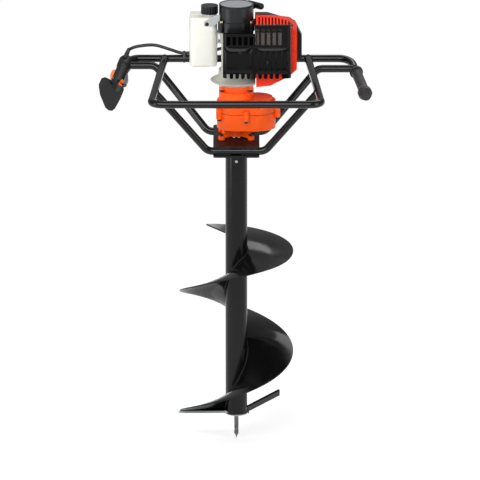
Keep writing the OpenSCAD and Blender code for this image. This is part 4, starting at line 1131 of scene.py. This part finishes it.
@dataclass
class ScrewHead:
    """A flanged screw head with a six-sided recess, in millimetres."""

    radius: float
    flange: float
    height: float
    recess: float
    recess_depth: float = 2.0
    steps: int = 24

    def form(self) -> Thing:
        """Makes the head at the origin, facing +Z.

        Returns:
            A template object that isn't shown.
        """
        turn = angles(self.steps)
        side = pi / 6
        hexagon = [self.recess / cos((t + side) % (2 * side) - side) for t in turn]
        f, r, h = self.flange, self.radius, self.height
        rows = ((f, 0.0), (f, 0.8), (f - 0.5, 1.2), (r, 1.4), (r, h - 0.5), (r - 0.5, h))
        rings = [([radius] * self.steps, z) for radius, z in rows]
        rings += [(hexagon, h), (hexagon, h - self.recess_depth)]
        shape = loft(
            [[mm(size * cos(t), size * sin(t), z) for size, t in zip(sizes, turn)] for sizes, z in rings]
        )
        return piece("screw_form", shape, angle=35)

    def set(self, name: str, spots: Sequence[Vector]) -> None:
        """Sets black heads on the frame's body, facing forward.

        Args:
            name: The piece's name.
            spots: The place of each head.
        """
        carrier = bpy.data.meshes.new("spots")
        carrier.from_pydata(spots, [], [])
        for value in carrier.attributes.new("aim", "FLOAT_VECTOR", "POINT").data:
            value.vector = (0.0, -1.0, 0.0)
        form = self.form()
        made = repeated(name, FORMS, carrier, BOLT_OXIDE, Form=form)
        bpy.data.objects.remove(form)
        settle(made)


@dataclass
class Engine:
    """Small forms on the engine and the gearbox, in millimetres."""

    guard_front: float = -87.0
    tab_front: float = -24.6
    tab_depth: float = 1.5
    split_z: float = 930.6
    case_r: float = 53.0
    centre: float = 54.0
    gasket_out: float = 0.35
    gasket_half: float = 0.7
    gasket_inner: float = 0.94
    tank_x: Pair = (-127.0, -53.0)
    tank_z: Pair = (1058.6, 1196.6)
    tank_y: float = 20.0
    tank_r: float = 9.0
    seam_out: float = 0.2
    seam: Point = (1.8, 1.8, 0.8)
    behind_slots_y: float = -66.0
    behind_slots_depth: float = 2.0
    drum_r: float = 45.4
    drum_top: float = 1230.4
    drum_edge: Point = (3.4, 4.0, 1.5)

    def screws(self) -> None:
        """Sets the screws that hold the covers."""
        guard = [mm(10, self.guard_front - 6.6, 1118), mm(85, self.guard_front - 3.2, 1089)]
        ScrewHead(2.8, 3.8, 2.4, 1.5).set("guard_screws", guard)
        ScrewHead(3.4, 5.2, 3.2, 1.9).set("tank_screw", [mm(-80, self.tab_front, 1180)])

    def gasket(self) -> None:
        """Lays the paper gasket that shows as a dark line between the gearbox halves."""
        r, c, h = self.case_r + self.gasket_out, self.centre, self.gasket_half
        outline = []
        for x, start in ((0.0, pi / 2), (c, -pi / 2)):
            turn = between(start, start + pi, 32)
            outline += [(x + r * cos(t), r * sin(t)) for t in turn]
        rows = []
        for k, z in ((self.gasket_inner, -h), (1.0, -h), (1.0, h), (self.gasket_inner, h)):
            rows.append([mm(c / 2 + (x - c / 2) * k, y * k, self.split_z + z) for x, y in outline])
        shape = loft(rows, closed=True)
        settle(piece("case_gasket", shape, MUFFLER_PAINT))

    def tank_seam(self) -> None:
        """Runs the blow mould's parting line round the tank."""
        (x0, x1), (z0, z1), r = self.tank_x, self.tank_z, self.tank_r
        out = r + self.seam_out
        line = []
        corners = ((x1 - r, z1 - r), (x0 + r, z1 - r), (x0 + r, z0 + r), (x1 - r, z0 + r))
        for quarter, (x, z) in enumerate(corners):
            turn = between(pi / 2 * quarter, pi / 2 * (quarter + 1), 8)
            line += [mm(x + out * cos(t), self.tank_y, z + out * sin(t)) for t in turn]
        settle(laid("tank_seam", SECTION, [line + line[:1]], TANK_PE, self.seam))

    def plates(self) -> None:
        """Adds a sheet of painted shade behind the guard's left slots, a plate in the muffler's paint
        behind its right slots, and the plate that the tank's screw holds.
        """
        behind_slots = (
            # The left sheet is painted shade: near-black so that the slots read dark, as if the guard's
            # inside lay in shade
            ("guard_liner_left", SLOT_SHADE_BLACK, (-34, 46, 1126, 1166)),
            ("guard_liner_right", MUFFLER_PAINT, (52, 147, 1171, 1190)),
        )
        for name, finish, (x0, x1, z0, z1) in behind_slots:
            outline = [mm(x, self.behind_slots_y, z) for x, z in ((x0, z0), (x1, z0), (x1, z1), (x0, z1))]
            plate = prism(outline, mm(0, self.behind_slots_depth, 0))
            settle(piece(name, plate, finish))
        corners = ((-88, 1174), (-61, 1174), (-45, 1190), (-45, 1206), (-56, 1206), (-88, 1187))
        tab = prism([mm(x, self.tab_front, z) for x, z in corners], mm(0, self.tab_depth, 0))
        settle(piece("tank_tab", tab, BRACKET_ZINC))

    def rim(self) -> None:
        """Rounds the edge of the starter's drum."""
        circle = hoop(self.drum_r, self.drum_top, 72)
        settle(laid("recoil_rim", SECTION, [circle], RECOIL_NYLON, self.drum_edge))

    def build(self) -> None:
        """Makes all of them."""
        self.screws()
        self.gasket()
        self.tank_seam()
        self.plates()
        self.rim()


@dataclass
class GuardPanel:
    """A crowned panel on the front of the muffler guard, in millimetres."""

    name: str
    left: float
    right: float
    low: float
    high: float
    rise: float
    front: float = -87.0
    foot: float = 0.6
    steps: int = 30

    def on(self, x: float, z: float) -> Vector:
        """Returns the point of the panel's face at a place."""
        u = 2 * (x - self.left) / (self.right - self.left) - 1
        w = 2 * (z - self.low) / (self.high - self.low) - 1
        proud = self.rise * max(0.0, 1 - abs(u) ** 5) * max(0.0, 1 - abs(w) ** 5)
        return mm(x, self.front - proud, z)

    def eased(self, low: float, high: float) -> list[float]:
        """Returns values from one to another that crowd at both ends."""
        turn = between(0.0, pi, self.steps)
        return [low + (high - low) * (0.5 - 0.5 * cos(t)) for t in turn]

    def build(self) -> None:
        """Makes the panel as a closed pillow, flat where it sits on the guard."""
        shape = bmesh.new()
        across_spots = self.eased(self.left, self.right)
        rows = [
            [shape.verts.new(self.on(x, z)) for x in across_spots] for z in self.eased(self.low, self.high)
        ]
        for low, high in zip(rows, rows[1:]):
            for i in range(self.steps):
                shape.faces.new((low[i], low[i + 1], high[i + 1], high[i]))
        right, left = [row[-1] for row in rows[:-1]], [row[0] for row in rows[:0:-1]]
        rim = rows[0][:-1] + right + rows[-1][:0:-1] + left
        back = [shape.verts.new(vert.co + mm(0, self.foot, 0)) for vert in rim]
        for k in range(len(rim)):
            j = (k + 1) % len(rim)
            shape.faces.new((rim[k], back[k], back[j], rim[j]))
        shape.faces.new(back)
        settle(piece(self.name, shape, GUARD_NYLON, 60))


@dataclass
class Guard:
    """The muffler guard's two crowned halves, their ribs and the fingers below, in millimetres."""

    seam_y: float = -87.2
    seam_x: float = 47.0
    seam_z: Pair = (1046.0, 1165.0)
    ledge_x: Pair = (50.0, 142.0)
    ledge_z: float = 1131.0
    pitch: float = 15.5
    rib: Point = (2.2, 2.2, 1.0)
    rib_x: Pair = (2.0, 36.0)
    rib_levels: Pair = (1114.6, 1075.0)
    upright: Point = (6.0, 6.0, 2.8)
    upright_at: float = 61.5
    upright_z: Pair = (1063.0, 1121.0)
    uprights: int = 6
    finger: Point = (10.0, 4.0, 15.0)
    finger_y: float = -87.5
    finger_at: float = -13.25
    finger_foot: float = 1042.4
    fingers: int = 9

    def build(self) -> None:
        """Makes the panels, the ribs on them and the fingers."""
        left = GuardPanel("guard_panel_left", -33.0, 44.0, 1056.5, 1132.0, 7.0)
        right = GuardPanel("guard_panel_right", 50.0, 145.0, 1056.5, 1128.0, 3.5)
        left.build()
        right.build()
        ribs = [[left.on(x, z) for x in between(*self.rib_x, 16)] for z in self.rib_levels]
        ribs.append([mm(self.seam_x, self.seam_y, z) for z in between(*self.seam_z, 8)])
        ribs.append([mm(x, self.seam_y, self.ledge_z) for x in between(*self.ledge_x, 8)])
        settle(laid("guard_ribs", SECTION, ribs, GUARD_NYLON, self.rib))
        spots = [self.upright_at + self.pitch * k for k in range(self.uprights)]
        lines = [[right.on(x, z) for z in between(*self.upright_z, 16)] for x in spots]
        settle(laid("guard_uprights", SECTION, lines, GUARD_NYLON, self.upright))
        self.foot()

    def foot(self) -> None:
        """Rounds and widens the fingers between the slots along the guard's foot."""
        width, depth, height = self.finger
        half, low = width / 2, self.finger_foot
        shape = bmesh.new()
        for i in range(self.fingers):
            x = self.finger_at + self.pitch * i
            turn = between(pi, tau, 12)
            corners = [(x + half * cos(t), low + half * (1 + sin(t))) for t in turn]
            corners += [(x + half, low + height), (x - half, low + height)]
            prism([mm(px, self.finger_y, pz) for px, pz in corners], mm(0, depth, 0), shape)
        settle(piece("guard_fingers", shape, GUARD_NYLON, 60))


class Dress:
    """Gives every CAD node that stays in sight its finish."""

    rows: tuple[tuple[Finish, str], ...] = (
        (FRAME_ENAMEL, "front_loop back_bar front_cradle rear_cradle"),
        (DECK_ENAMEL, "top_plate lower_plate"),
        (GRIP_RUBBER, "grip_right"),
        (HANDLE_NYLON, "handle_front handle_back"),
        (TRIGGER_NYLON, "trigger"),
        (CONTROL_ACETAL, "lock_lever stop_switch push_knob"),
        (SLEEVE_PVC, "cable_tie"),
        (CASE_ENAMEL, "case_lower case_upper"),
        (BOLT_OXIDE, "case_bolts foot_bolts collar_bolts handle_screws"),
        (TURNED_STEEL, "bearings output_shaft layshaft input_shaft clutch_drum clutch_shoes"),
        (TURNED_STEEL, "crankshaft piston throttle_arm lock_pin"),
        (BARE_CASTING, "fan_housing crankcase carburettor flywheel"),
        (CYLINDER_ALLOY, "cylinder_block"),
        (MUFFLER_PAINT, "muffler"),
        (GUARD_NYLON, "muffler_guard"),
        (SHROUD_ABS, "shroud"),
        (PLUG_CERAMIC, "spark_plug"),
        (BOOT_RUBBER, "plug_boot"),
        (COVER_PP, "choke_lever air_base air_cover air_knob starter_handle starter_pulley fuel_cap"),
        (RECOIL_NYLON, "recoil_housing"),
        (DISC_ALLOY_AND_REFLECTION, "recoil_disc"),
        (ZINC_PLATE, "starter_screws"),
        (TANK_PE, "fuel_tank"),
        (BRACKET_ZINC, "tank_bracket"),
        (BIT_ENAMEL, "bit_tube flight blade_right"),
        (LEFT_BLADE, "blade_left"),
        (DRILL_STEEL, "pilot_drill"),
    )

    def apply(self, nodes: dict[str, Thing]) -> None:
        """Puts the finishes in the nodes' material slots.

        Args:
            nodes: The CAD nodes' objects by name.
        """
        for finish, names in self.rows:
            for name in names.split():
                made = nodes[name]
                if not made.material_slots:
                    made.data.materials.append(finish.build())
                for holder in made.material_slots:
                    holder.material = finish.build()
                LOG.info("%s: %s", name, finish.name)


def main() -> None:
    """Builds the studio, the finishes and the small forms, in order."""
    logging.basicConfig(level=logging.INFO, format="%(name)s %(message)s")
    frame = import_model()
    bpy.context.scene.view_settings.view_transform = "Standard"
    Studio().build()
    ThrottleCable().build()
    StarterRope().build()
    Dress().apply(frame["nodes"])
    FrameWelds().build()
    Bit().build()
    Engine().build()
    Guard().build()
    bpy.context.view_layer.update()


if __name__ == "__main__":
    main()
